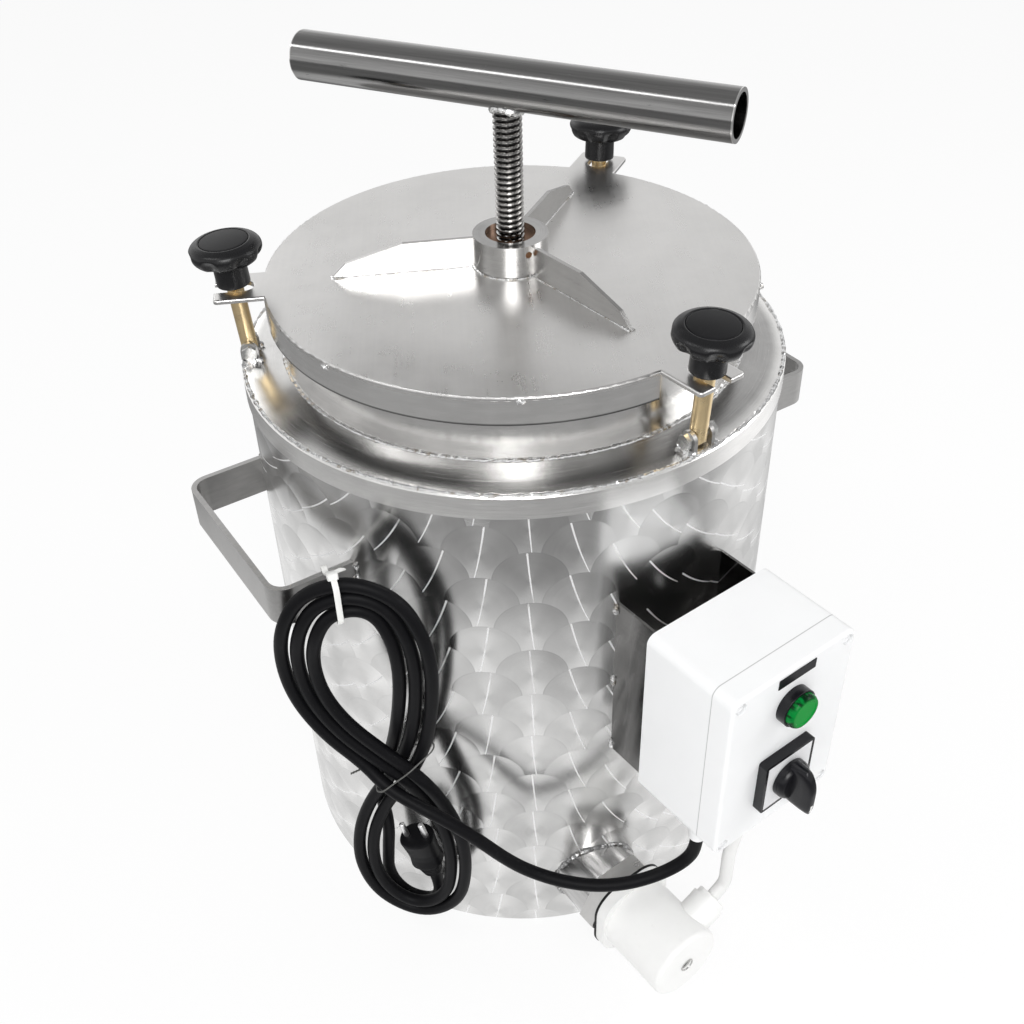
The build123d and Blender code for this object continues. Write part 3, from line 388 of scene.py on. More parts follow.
def moulded(name, colour, roughness, grain=0.5, depth=0.02, uneven=0.05, sheen=0.5, worn=None, soil=0,
            seam=None):
    """Moulded plastic: a fine grain in relief, a slightly uneven colour, rubbed places, settled dust, and the
    dark line of a seam at a level of y."""
    finish = Finish(name, colour, roughness, 0, Specular_IOR_Level=sheen)
    x, y, z = finish.place()
    here = finish.point(x, y, z)
    fine = finish.noise(here, grain * 4, 3, 0.6)
    cloud = finish.noise(here, 0.03, 4, 0.6)
    colouring = finish.grey(1 + (cloud - 0.5) * uneven * 2 + (fine - 0.5) * uneven, colour)
    if worn:
        rubbed = finish.noise(here, 0.14, 5, 0.75).ramp(0.56, 0.78)
        colouring = finish.mix(rubbed * 0.5, colouring, worn)
    if soil:
        spots = finish.noise(here, 0.09, 6, 0.8).ramp(0.58, 0.8)
        colouring = finish.mix(spots * soil, colouring, (0.55, 0.54, 0.5))
    if seam:
        colouring = finish.mix(abs(y - seam).ramp(0.15, 0.6, 0.5, 0), colouring, (0.12, 0.12, 0.12))
    finish.let(Base_Color=colouring, Roughness=roughness + (cloud - 0.5) * 0.12 + (fine - 0.5) * 0.08)
    finish.bump(fine, 0.5, depth)
    return finish.material


def lens_green():
    """Clear green plastic lens: bright in the middle with faint rings, and painted shade and highlight on the
    facets round its rim.
    """
    finish = Finish("green_lens", (0, 0.3, 0.05), 0.2, 0, Specular_IOR_Level=0.1)
    x, y, z = finish.place()
    x, z = x - BOX_X, z - LAMP_Z
    off = (x ** 2 + z ** 2).math("SQRT")
    ring = ((off * 3.4).math("SINE") * 0.5 + 0.5) * off.ramp(9.2, 9.8, 1, 0)
    rim = off.ramp(9.6, 12.8)
    turn = x.math("ARCTAN2", z)
    # Painted shade and highlight: the rim's facets turn by chance between near black and bright green.
    painted_facet_shade = finish.noise(finish.point(turn * 2.2, y * 0.06, 3), 1, 2).ramp(0.42, 0.56)
    colour = finish.mix(rim, (0.004, 0.25, 0.035), finish.mix(painted_facet_shade, (0, 0.02, 0.005), (0, 0.19, 0.03)))
    colour = finish.mix(ring * 0.12, colour, (0.01, 0.4, 0.06))
    finish.let(Base_Color=colour, Roughness=0.2 + ring * 0.05)
    finish.bump(ring, 0.2, 0.05)
    return finish.material


TEE_BEARING = radians(27.4)
tee_way = (sin(TEE_BEARING), -cos(TEE_BEARING), 0)
tee_side = (cos(TEE_BEARING), sin(TEE_BEARING), 0)

ground = swirl_ground()
lid_steel = satin_steel("lid_steel", 0.76, 0.3, (0.55, 0.83))
# Painted shade: a darker copy of the lid's steel, for the dimmer reflection in the ribs' faces.
shaded_rib_steel = satin_steel("shaded_rib_steel", 0.46, 0.2, (0, 1), 0.12)
bar_steel = satin_steel("bar_steel", 0.44, 0.38, (1, 0.1), 0.14)
# Painted shade: the bracket's steel is made dark for the dark reflection of the gap beside it.
shaded_bracket_steel = satin_steel("shaded_bracket_steel", 0.22, 0.12, (0, 1), 0.05)
# Painted shade: the slope above the hoop's weld is 0.44 darker than the hoop.
hoop_steel = turned_steel("hoop_steel", 0.92, 0.24, 0.16, COVER_TOP - 4.8, -0.44)
neck_steel = turned_steel("neck_steel", 0.84, 0.18, 0.12)
# Painted shadow: a dark line along the foot of the lid's band; the band above it is 0.72 lighter.
band_steel = turned_steel("band_steel", 0.16, 0.18, 0.12, BAND_FOOT + 0.4, 0.72)
boss_steel = turned_steel("boss_steel", 0.44, 0.15, 0.2)
tee_steel = pipe_steel("tee_steel", 0.27, 0.15, tee_way, half=158)
port_steel = pipe_steel("port_steel", 0.5, 0.2, (0, 1))
flange_steel = satin_steel("flange_steel", 0.66, 0.3, (1, 0))
weld = weld_steel("weld_steel", 0.74)
dark_weld = weld_steel("dark_weld", 0.3)
screw_steel = machined("screw_steel", (0.42, 0.41, 0.4), 0.13, 0.25, root=8.4)
plate_steel = machined("plate_steel", (0.62, 0.61, 0.6), 0.28)
bronze = machined("nut_bronze", (0.17, 0.09, 0.05), 0.34, 0.35)
brass = machined("rod_brass", (0.92, 0.72, 0.42), 0.3, 0.12)
small_steel = machined("small_steel", (0.55, 0.55, 0.54), 0.24)
pin_steel = machined("pin_steel", (0.86, 0.86, 0.86), 0.35, 0.06)
face_silver = moulded("face_silver", (0.8, 0.8, 0.81), 0.26, 0.8, 0.01, 0.03, 0.6)
knob_black = moulded("knob_black", (0.007, 0.007, 0.008), 0.28, 0.35, 0.03, 0.2, 0.34, (0.02, 0.02, 0.022))
cap_black = moulded("cap_black", (0.006, 0.006, 0.007), 0.42, 0.9, 0.04, 0.2, 0.2, (0.02, 0.02, 0.022))
switch_black = moulded("switch_black", (0.006, 0.006, 0.008), 0.24, 0.6, 0.015, 0.2, 0.3)
rubber_black = moulded("rubber_black", (0.005, 0.005, 0.006), 0.46, 0.5, 0.04, 0.3, 0.1,
                       (0.014, 0.014, 0.016))
gasket_black = moulded("gasket_black", (0.012, 0.012, 0.012), 0.6, 0.8, 0.05, 0.3, 0.2)
label_black = moulded("label_black", (0.008, 0.008, 0.01), 0.3, 0.8, 0.01, 0.2, 0.3)
wire_grey = moulded("wire_grey", (0.1, 0.1, 0.095), 0.4, 0.8, 0.01, 0.2, 0.4)
box_white = moulded("box_white", (0.87, 0.875, 0.88), 0.34, 0.8, 0.02, 0.02, 0.4, None, 0.03, BOX_SEAM)
cover_white = moulded("cover_white", (0.86, 0.86, 0.85), 0.34, 0.5, 0.03, 0.04, 0.4, None, 0.3)
tie_white = moulded("tie_white", (0.8, 0.8, 0.78), 0.34, 0.6, 0.02, 0.04)
cable_white = moulded("cable_white", (0.8, 0.8, 0.79), 0.4, 0.5, 0.03, 0.04, 0.4, None, 0.1)
lens = lens_green()

finishes = {
    ground: "outer_shell shell_back",
    hoop_steel: "top_cover base_plate",
    neck_steel: "inner_pot",
    band_steel: "lid_band",
    boss_steel: "press_boss",
    lid_steel: "lid_plate",
    shaded_rib_steel: "boss_ribs",
    bar_steel: "left_handle right_handle clevises",
    shaded_bracket_steel: "box_bracket",
    tee_steel: "tee_handle",
    port_steel: "heater_port wax_outlet water_filler",
    flange_steel: "heater_flange",
    plate_steel: "press_plate keeper_ring basket heating_element",
    small_steel: "clevis_pins keeper_screws end_screw",
    screw_steel: "press_screw",
    bronze: "press_nut",
    brass: "swing_bolt_1 swing_bolt_2 swing_bolt_3",
    face_silver: "switch_face",
    switch_black: "switch_frame switch_lever lamp_bezel switch_body lamp_body",
    label_black: "label_plate",
    knob_black: "star_knob_1 star_knob_2 star_knob_3",
    cap_black: "knob_cap_1 knob_cap_2 knob_cap_3",
    gasket_black: "lid_gasket heater_gasket cover_seal",
    rubber_black: "cord_lead cord_hank mains_plug waist_tie",
    box_white: "box_base box_cover box_screws box_glands terminal_block",
    cover_white: "heater_cover heater_gland",
    cable_white: "heater_cable",
    tie_white: "hank_tie",
    lens: "lamp_lens",
}
for material, names in finishes.items():
    for name in names.split():
        slots = nodes[name].material_slots
        for slot in slots:
            slot.material = material
        if not slots:
            nodes[name].data.materials.append(material)


# Cords: the part's own routes, in millimetres, as the control points of smooth splines

lead_points = [
    (-42, -270, 167.3), (-42, -270, 151), (-47.5, -266, 136), (-62, -258, 124.5), (-83, -247, 118),
    (-105, -232, 116), (-125, -213, 118.5), (-142, -194.5, 126),
]
hank_stations = [
    (-38, 209, 4), (-58, 230, 7), (-84, 256, 8), (-101, 287, 8), (-105, 323, 9), (-98, 355, 12),
    (-85, 378, 9), (-61, 387, 4), (-38, 377, 0), (-25, 351, 0), (-21, 318, -1), (-25, 274, -4),
    (-34, 230, -8), (-51, 189, -9), (-70, 157, -8), (-82, 119, -3), (-82, 79, 0), (-67, 48, 1),
    (-38, 36, 1), (-12, 57, 0), (-5, 98, -1), (-8, 140, -2), (-21, 176, -2),
]
hank_lead_in = [(38, 142, 14), (16, 168, 18), (-6, 185, 19), (-28, 196, 18), (-50, 205, 14)]
tail_points = [
    (-53, 216, -15), (-67, 180, -19), (-70, 148, -20), (-66, 116, -19), (-69, 84, -17),
    (-71, 53, -15), (-56, 29, -14), (-31, 30, -13), (-24, 55, -11), (-29, 79, -9),
]
HANK_BEARING = radians(-49.5)
HANK_DISTANCE = 224
HANK_PITCH = 11.8
HANK_MIDDLE = 1.25
HANK_TURNS = 2
HANK_PART_TURN = 12


def hank_point(along, height, outwards):
    """Point on the hank's upright plane: along it, up, and outwards from it, in millimetres."""
    reach = HANK_DISTANCE + outwards
    return (reach * sin(HANK_BEARING) + along * cos(HANK_BEARING),
            along * sin(HANK_BEARING) - reach * cos(HANK_BEARING), height)


def hank_route():
    """Lead-in, the turns of the figure of eight, each shifted inwards by the pitch over a turn, and tail."""
    count = len(hank_stations)
    route = [hank_point(*point) for point in hank_lead_in]
    for step in range(1, HANK_TURNS * count + HANK_PART_TURN):
        before, here, after = (hank_stations[(step + shift) % count] for shift in (-1, 0, 1))
        run = (after[0] - before[0], after[1] - before[1])
        shift = HANK_PITCH * (HANK_MIDDLE - step / count) / hypot(*run)
        route.append(hank_point(here[0] - run[1] * shift, here[1] + run[0] * shift, here[2]))
    return route + [hank_point(*point) for point in tail_points]


def settled(name, data, finish, body):
    """Object of a curve or mesh in its finish, which rides on a body."""
    data.materials.append(finish)
    made = added(name, data)
    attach(made, body)
    return made


def cord(name, points, radius, finish):
    """Round cord: an open spline of order 3 on its control points, held at both ends."""
    curve = bpy.data.curves.new(name, "CURVE")
    curve.dimensions = "3D"
    curve.bevel_depth = radius * MM
    curve.bevel_resolution = 6
    curve.resolution_u = 8
    curve.use_fill_caps = True
    spline = curve.splines.new("NURBS")
    spline.points.add(len(points) - 1)
    spline.points.foreach_set("co", np.column_stack([np.array(points) * MM, np.ones(len(points))]).ravel())
    spline.order_u = 3
    spline.use_endpoint_u = True
    return settled(name, curve, finish, "vessel")


route = hank_route()
mains = cord("mains_cord", lead_points + route, 5, rubber_black)
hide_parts("cord_lead", "cord_hank")

GLAND_RISE = radians(25)
gland_line = [(HEATER_X + cos(GLAND_RISE) * reach, HEATER_Z + sin(GLAND_RISE) * reach)
              for reach in (31.2, 60.7)]
to_the_box = [(-7.8, 87), (-8.2, 101), (-8, 126), (-0.5, 153), (6, 175.3), (6, 189.3)]
heater_route = [(x, -275, z) for x, z in gland_line + to_the_box]
heater_lead = cord("heater_lead", heater_route, 5.3, cable_white)
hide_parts("heater_cable")


# Shapes as grids of points, in millimetres

def angles(count):
    """Angles evenly spaced round a full turn."""
    return np.linspace(0, 2 * pi, count, endpoint=False)


def weave(points, ring=True, loop=False):
    """Faces over a grid of points, rows by columns. Rows close into rings, and the rows close into a loop or
    the two end rows are filled from their middles. The faces are turned so that the signed volume is
    positive."""
    rows, columns = points.shape[:2]
    index = np.arange(rows * columns).reshape(rows, columns)
    vertices = points.reshape(-1, 3)
    if ring:
        index = np.hstack([index, index[:, :1]])
    if loop:
        index = np.vstack([index, index[:1]])
    corners = index[:-1, :-1], index[:-1, 1:], index[1:, 1:], index[1:, :-1]
    faces = np.stack(corners, -1).reshape(-1, 4).tolist()
    if ring and not loop:
        for row, order in ((0, -1), (rows - 1, 1)):
            fan = np.column_stack([index[row, :-1], index[row, 1:], np.full(columns, len(vertices))])
            vertices = np.vstack([vertices, points[row].mean(0)])
            faces += fan[:, ::order].tolist()
    triangles = [face[:3] for face in faces]
    triangles += [[face[0], face[2], face[-1]] for face in faces if len(face) > 3]
    a, b, c = (vertices[np.array(triangles)[:, side]] for side in range(3))
    if ring and np.einsum("ij,ij->", a, np.cross(b, c)) < 0:
        faces = [face[::-1] for face in faces]
    return vertices, faces


def joined(shapes):
    """Several shapes as one."""
    vertices, faces, start = [], [], 0
    for points, cells in shapes:
        vertices.append(points)
        faces += [[index + start for index in face] for face in cells]
        start += len(points)
    return np.vstack(vertices), faces


def piece(name, shape, finish, body, slot, *stands_for):
    """Object of a shape, scaled to metres, that rides on a body and may stand for CAD nodes."""
    mesh = bpy.data.meshes.new(name)
    mesh.from_pydata((shape[0] * MM).tolist(), [], shape[1])
    mesh.shade_smooth()
    mesh.set_sharp_from_angle(angle=radians(40))
    made = settled(name, mesh, finish, body)
    if stands_for:
        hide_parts(*stands_for)
    return made


def about_z(points, bearing):
    """Points built on the -Y side, carried round to a bearing in degrees."""
    c, s = cos(radians(bearing)), sin(radians(bearing))
    return points @ np.array([(c, s, 0), (-s, c, 0), (0, 0, 1)])


pins = [joint["pos_m"] for joint in frame["joints"] if joint["name"].startswith("bolt_swing")]
PIN_RADIUS = round(hypot(*pins[0][:2]) / MM, 1)
PIN_LEVEL = round(pins[0][2] / MM, 1)
tongue_bearings = [round(degrees(atan2(x, -y)) % 360, 1) for x, y, z in pins]


def lathe(profile, count=64, wave=None):
    """Profile of radius and height turned about Z; wave gives a share of the radius at each row and angle."""
    profile = np.array(profile, float)
    turn = angles(count)
    radius = profile[:, :1] * (np.ones(count) if wave is None else wave(profile[:, 1:], turn))
    height = np.repeat(profile[:, 1:], count, 1)
    return np.stack([radius * np.cos(turn), radius * np.sin(turn), height], -1)


def rounded(points, steps=5):
    """Outline through points given as (x, y, radius): each corner is a quadratic arc that starts and ends at
    its radius from the corner."""
    points = np.array(points, float)
    done = []
    for index, (x, y, radius) in enumerate(points):
        here = np.array((x, y))
        if radius == 0 or index in (0, len(points) - 1):
            done.append(here[None])
            continue
        ends = []
        for other in (points[index - 1, :2], points[index + 1, :2]):
            run = other - here
            ends.append(here + run * min(radius / hypot(*run), 0.5))
        t = np.linspace(0, 1, steps + 1)[:, None]
        done.append((1 - t) ** 2 * ends[0] + 2 * t * (1 - t) * here + t * t * ends[1])
    return np.vstack(done)


def tube(path, radius, sides=10, up=(0, 0, 1), loop=False, section=None):
    """Section carried along a path, across it and up from it. The radius may vary from row to row."""
    path = np.array(path, float)
    ahead = np.roll(path, -1, 0) - np.roll(path, 1, 0)
    if not loop:
        ahead[0], ahead[-1] = path[1] - path[0], path[-1] - path[-2]
    ahead /= np.linalg.norm(ahead, axis=1)[:, None]
    side = np.cross(ahead, up)
    side /= np.linalg.norm(side, axis=1)[:, None]
    high = np.cross(side, ahead)
    turn = angles(sides)
    flat = np.column_stack([np.cos(turn), np.sin(turn)]) if section is None else np.array(section, float)
    size = np.broadcast_to(np.asarray(radius, float), (len(path),))[:, None, None]
    return path[:, None] + size * (flat[None, :, :1] * side[:, None] + flat[None, :, 1:] * high[:, None])


def bead(path, radius, seed, loop=False, up=(0, 0, 1), rough=0.3, ripple=3.2):
    """Weld bead along a path: its radius swells at each ripple and wanders by smoothed chance."""
    path = np.array(path, float)
    run = np.concatenate([[0], np.cumsum(np.linalg.norm(np.diff(path, axis=0), axis=1))])
    chance = np.random.default_rng(seed).normal(size=len(path) + 8)
    smooth = np.convolve(chance, np.ones(5) / 5, "same")[4:-4]
    swell = 0.16 * np.sin(run * 2 * pi / ripple) + rough * smooth
    shift = np.random.default_rng(seed + 1).normal(size=(len(path), 3)) * radius * 0.12
    return weave(tube(path + shift, radius * np.clip(1 + swell, 0.45, 1.7), 8, up, loop), True, loop)


def circle(radius, height, count):
    """Points round the vessel's axis."""
    turn = angles(count)
    return np.column_stack([radius * np.sin(turn), -radius * np.cos(turn), np.full(count, height)])


# Press screw with its thread, and the weld under the tee

def press_thread():
    """Collar, spigot and thread in one surface. On the thread the radius is the root plus the depth times a
    trapezoid wave of height over lead less the turn, so the crest climbs as a helix."""
    lead, root, depth, sides = 4, 8, 2, 48
    run_out, first_crest, top = 296.6, 298, 630
    lower = rounded([(0.5, 255.1, 0), (12, 255.1, 0.8), (12, 259.6, 0.8), (7, 259.6, 0), (7, 296, 0),
                     (root, 296.2, 0)], 3)
    upper = np.arange(run_out, top, 1 / 3)
    turn = np.linspace(0, 1, sides, endpoint=False)
    phase = (upper[:, None] / lead - turn) % 1
    ridge = np.clip(np.minimum(phase, 1 - phase) * 5.7 - 0.75, 0, 1)
    fade = np.clip((upper - first_crest) / lead, 0, 1)[:, None]
    radius = np.vstack([np.repeat(lower[:, :1], sides, 1), root + depth * ridge * fade])
    height = np.concatenate([lower[:, 1], upper])[:, None] * np.ones(sides)
    return weave(np.stack([radius * np.cos(2 * pi * turn), radius * np.sin(2 * pi * turn), height], -1))


piece("thread", press_thread(), screw_steel, "press_screw", "screw_steel", "press_screw")


def tee_weld():
    """Fillet under the pipe, where the screw meets it. At each distance across the pipe it is below the axis
    by the root of the pipe's radius squared less that distance squared."""
    pipe_radius, ring_radius = 16.85, 9.8
    turn = angles(72)
    across, along = ring_radius * np.cos(turn), ring_radius * np.sin(turn)
    path = across[:, None] * tee_side + along[:, None] * tee_way
    path[:, 2] = TEE_LEVEL - np.sqrt(pipe_radius**2 - across**2) - 0.6
    return bead(path, 2.3, 3, True, rough=0.5, ripple=5)


piece("tee_weld", tee_weld(), weld, "press_screw", "screw_steel")


# Star knobs

BOLT_LEAN = radians(3.5)
KNOB_FOOT = 50.9  # height of the hub's foot above the bolt's pin


def on_bolt(points, bearing):
    """Points built upright on a knob's foot, carried to the knob's place on the closed bolt at a bearing."""
    c, s = cos(BOLT_LEAN), sin(BOLT_LEAN)
    tipped = (points + (0, 0, KNOB_FOOT)) @ np.array([(1, 0, 0), (0, c, s), (0, -s, c)])
    return about_z(tipped + (0, -PIN_RADIUS, PIN_LEVEL), bearing)


def knob_grip(bearing):
    """Grip with lobes: a sloped rim over a tapered skirt. The radius falls at each scallop by a share that
    grows from the rim down to the skirt."""
    lobes, deepest = 7, 0.17
    outline = rounded([
        (0.4, 19.9, 0), (8.25, 19.9, 0.5), (8.25, 0, 0.6), (12, 0, 1), (11.8, 16.2, 1.4), (16.5, 16.6, 2),
        (22.6, 19.4, 3), (25.5, 24.6, 2.5), (25.6, 28.2, 2.2), (23.2, 31.4, 2.4), (18.4, 33.2, 0.9),
        (17.35, 32.8, 0.3), (17.2, 31.6, 0.2), (0.4, 31.6, 0)], 5)

    def scallop(height, turn):
        skirt = np.clip((29.6 - height) / 6.5, 0, 1)
        body = np.clip((height - 16.3) / 2, 0, 1)
        notch = np.clip((np.cos(lobes * turn + pi) + 0.1) / 1.1, 0, 1) ** 0.9
        return 1 - deepest * body * skirt * skirt * (3 - 2 * skirt) * notch

    return weave(on_bolt(lathe(outline, 168, scallop), bearing))


def knob_cap(bearing):
    """Cap set in the grip: a low dome whose height falls with the square of the radius."""
    radius = np.linspace(0.5, 16.4, 12)[::-1]
    dome = np.column_stack([radius, 33.9 - 0.9 * (radius / 17) ** 2])
    edge = [(0.5, 31.7), (16.9, 31.7), (17, 32.1), (17, 32.7), (16.8, 32.95)]
    return weave(on_bolt(lathe(np.vstack([edge, dome]), 96), bearing))


def knob_insert(bearing):
    """Brass sleeve in the hub."""
    section = lathe([(6.2, 0.1), (8.15, 0.1), (8.15, 19.8), (6.2, 19.8)], 48)
    return weave(on_bolt(section, bearing), True, True)


for number, bearing in enumerate(tongue_bearings, 1):
    body = f"star_knob_{number}"
    piece(f"knob_grip_{number}", knob_grip(bearing), knob_black, body, "knob_plastic", body)
    piece(f"knob_dome_{number}", knob_cap(bearing), cap_black, body, "knob_plastic", f"knob_cap_{number}")
    piece(f"knob_sleeve_{number}", knob_insert(bearing), brass, body, "brass")


# Welds on the vessel and the lid

def shell_front(x):
    """y of the shell's front at a distance x from its middle: minus the root of the shell's radius squared
    less x squared."""
    return -np.sqrt(SHELL_RADIUS**2 - x**2)


def port_weld():
    """Bead round the heater's port, where its pipe meets the shell."""
    turn = angles(150)
    x = HEATER_X + 31.8 * np.cos(turn)
    path = np.column_stack([x, shell_front(x) - 0.2, HEATER_Z + 31.8 * np.sin(turn)])
    return bead(path, 1.9, 13, True, up=(0, -1, 0), rough=0.45, ripple=4)


def straight(start, end, step=1.1):
    """Points evenly spaced between two ends."""
    start, end = np.array(start, float), np.array(end, float)
    count = max(4, int(np.linalg.norm(end - start) / step))
    return start + (end - start) * np.linspace(0, 1, count)[:, None]


def handle_welds():
    """Fillets up both faces of each handle's arms, where they meet the shell."""
    handle_turn, arm_at, low, high = -3.6, 77, 347.5, 376.5
    welds = []
    for side in (0, 180):
        for arm in (-arm_at, arm_at):
            for edge in (-1.5, 1.5):
                along = arm + edge * np.sign(arm)
                foot = shell_front(abs(arm) + edge) - 0.3
                line = straight((foot, along, low), (foot, along, high))
                bearing = side + handle_turn + 180
                welds.append(bead(about_z(line, bearing), 1.5, 100 + arm + side, up=(1, 0, 0)))
    return welds


def bracket_welds():
    """Three short beads up each side of the box's bracket."""
    welds = []
    for side in (-1, 1):
        x = BOX_X + side * 48.2
        y = shell_front(x) - 0.4
        for low, high in ((207, 216), (276, 284), (346, 354)):
            line = straight((x, y, low), (x, y, high), 0.6)
            welds.append(bead(line, 1.7, 31 + side + low, up=(1, 0, 0)))
    return welds


def clevis_welds(number, bearing):
    """Blobs at the feet of a clevis's ears, and a bead along the outside of each ear."""
    welds = []
    for side in (-1, 1):
        for shift in (-5.2, 5.2):
            outer = (side * 9.8, -PIN_RADIUS + shift, 460.6)
            inner = (side * 6.6, -PIN_RADIUS + shift * 0.9, 459)
            line = about_z(straight(outer, inner, 0.5), bearing)
            welds.append(bead(line, 2.3, 40 + number, up=(0, 1, 0), rough=0.4))
        line = straight((side * 10.6, -199.8, 459.8), (side * 10.6, -187.4, 461.6), 0.8)
        welds.append(bead(about_z(line, bearing), 2.6, 50 + number, up=(1, 0, 0), rough=0.45))
    return welds


def rib_welds(number, bearing):
    """Fine beads along both feet of a rib, thicker at the end, and two tacks on the lid's rim beside it."""
    welds = []
    for side in (-1, 1):
        line = straight((side * 1.6, -28, LID_TOP + 0.1), (side * 1.6, -126, LID_TOP + 0.1), 1.6)
        welds.append(bead(about_z(line, bearing), 0.5, 62 + number, up=(1, 0, 0), rough=0.15))
        line = straight((side * 1.6, -120, LID_TOP + 0.3), (side * 1.6, -129, LID_TOP + 0.3), 0.6)
        welds.append(bead(about_z(line, bearing), 1, 70 + number, up=(1, 0, 0), rough=0.2))
    for shift in (-36, 40):
        line = straight((-3, -177.9, LID_TOP - 3.4), (3, -177.9, LID_TOP - 3.4), 0.5)
        welds.append(bead(about_z(line, bearing + shift), 1.5, 80 + number, rough=0.7))
    return welds


hoop_bead = bead(circle(SHELL_RADIUS - 0.5, COVER_TOP - 5.3, 900), 1.3, 11, True, rough=0.4, ripple=9)
neck_bead = bead(circle(170, COVER_TOP, 760), 1.1, 12, True, rough=0.3, ripple=7)
boss_bead = bead(circle(27.3, LID_TOP + 0.4, 130), 0.9, 61, True, rough=0.5)
vessel_welds = [hoop_bead, neck_bead] + handle_welds() + bracket_welds()
lid_welds = [boss_bead]
for number, bearing in enumerate(tongue_bearings):
    vessel_welds += clevis_welds(number, bearing)
    lid_welds += rib_welds(number, bearing)
piece("vessel_welds", joined(vessel_welds), weld, "vessel", "stainless")
piece("port_weld", port_weld(), dark_weld, "vessel", "stainless")
piece("lid_welds", joined(lid_welds), weld, "lid", "stainless_satin")


# Plug, ties and strain relief

def frame_at(points, origin, x_axis, y_axis, z_axis):
    """Points carried to an origin on three unit axes."""
    return points @ np.array([x_axis, y_axis, z_axis]) + origin


def plug_shape():
    """Moulded plug: rounded sections along its axis, ridged on the neck, waisted where it is held."""
    height = np.concatenate([np.linspace(0, 12, 25), np.linspace(12.4, 47.6, 40), [47.9, 48]])
    wide = np.interp(height, [0, 12, 16, 24, 34, 46, 47.6, 48], [7, 9.6, 13.4, 12.6, 13.2, 14, 13.2, 11.5])
    ridge = 0.55 * (np.sin(height * 2 * pi / 3.2) > 0) * (height < 12)
    turn = angles(64)
    deep = np.interp(height, [0, 12, 16, 30, 48], [1, 1, 0.86, 0.76, 0.86])
    c, s = np.cos(turn), np.sin(turn)
    x = (wide + ridge)[:, None] * np.sign(c) * np.abs(c) ** 0.85
    y = ((wide + ridge) * deep)[:, None] * np.sign(s) * np.abs(s) ** 0.85
    return np.stack([x, y, np.repeat(height[:, None], 64, 1)], -1)


neck = np.array(route[-1])
way = neck - np.array(route[-2])
way /= np.linalg.norm(way)
across = np.array((cos(HANK_BEARING), sin(HANK_BEARING), 0))
across -= way * (across @ way)
across /= np.linalg.norm(across)
plug_axes = (across, np.cross(way, across), way)
plug_body = weave(frame_at(plug_shape(), neck, *plug_axes))
plug = piece("plug_body", plug_body, rubber_black, "vessel", "black_rubber", "mains_plug")
pin_profile = rounded([(0.3, 46, 0), (2.4, 46, 0), (2.4, 62.4, 1.4), (0.3, 63, 0)], 4)
two_pins = [weave(frame_at(lathe(pin_profile, 32) + (side * 8, 0, 0), neck, *plug_axes)) for side in (-1, 1)]
plug_pins = piece("plug_pins", joined(two_pins), pin_steel, "vessel", "brass")


def closed_line(points, count):
    """Closed cubic through points: each span leaves and arrives along the chord between its neighbours."""
    points = np.array(points, float)
    total = len(points)
    along = np.linspace(0, total, count, endpoint=False)
    index = along.astype(int)
    t = (along - index)[:, None]
    before, here, after, beyond = (points[(index + shift) % total] for shift in (-1, 0, 1, 2))
    return 0.5 * (2 * here + (after - before) * t + (2 * before - 5 * here + 4 * after - beyond) * t**2
                  + (3 * here - before - 3 * after + beyond) * t**3)


def strap(path, width, thick, face):
    """Flat strap with rounded edges along a closed path; face is the direction of its width."""
    section = [(-0.5, -0.36), (-0.3, -0.5), (0.3, -0.5), (0.5, -0.36),
               (0.5, 0.36), (0.3, 0.5), (-0.3, 0.5), (-0.5, 0.36)]
    return weave(tube(path, 1, 8, face, True, np.array(section) * (thick, width)), True, True)


def hank_tie():
    """White tie round the handle's bar and the hank's top: a strap on a slanted plane, its ratchet head and
    its tail."""
    outline = [(-33.6, 347), (-33.6, 361), (-33.5, 376.5), (-30.5, 380), (-24, 379.7), (-10, 390),
               (4.4, 400.8), (9.9, 400.9), (14.4, 396.2), (14.7, 383), (14.5, 369), (10, 363.9), (4.8, 363.5),
               (-9, 353.9), (-23, 344), (-30.5, 343.3)]
    facing = HANK_BEARING + radians(32)
    out = np.array((sin(facing), -cos(facing), 0))
    normal = np.array((cos(facing), sin(facing), 0))
    origin = np.array(hank_point(-74.4, 0, 0))
    band = strap(origin + closed_line(outline, 140) @ np.array([out, (0, 0, 1)]), 4, 1.2, normal)

    head_at = origin + out * 5.2 + np.array((0, 0, 401.6))
    slope = out * 0.90 + np.array((0, 0, 0.43))
    level = np.cross(normal, slope)

    def squared(height, turn):
        return 1 / np.maximum(np.abs(np.cos(turn)), np.abs(np.sin(turn))) ** 0.8 + 0 * height

    profile = [(0.3, -4.8), (2.9, -4.8), (3.6, -4), (3.9, 0), (3.6, 4), (2.9, 4.8), (0.3, 4.8)]
    head = weave(frame_at(lathe(profile, 24, squared) * (1, 0.7, 1), head_at, normal, level, slope))
    stations = np.array([(1, 1.2), (3, 1.9), (5, 2.2), (7, 2), (8.8, 1.4), (9.6, 1)])
    tail_path = head_at + stations @ np.array([normal - out * 0.2, (0, 0, 1)])
    section = [(-1.5, -0.5), (1.5, -0.5), (1.5, 0.5), (-1.5, 0.5)]
    size = [1, 1, 1, 0.95, 0.7, 0.35]
    tail = weave(tube(tail_path, size, 4, (0, 0, 1), False, section))
    return joined([band, head, tail])


tie = piece("white_tie", hank_tie(), tie_white, "vessel", "white_plastic", "hank_tie")


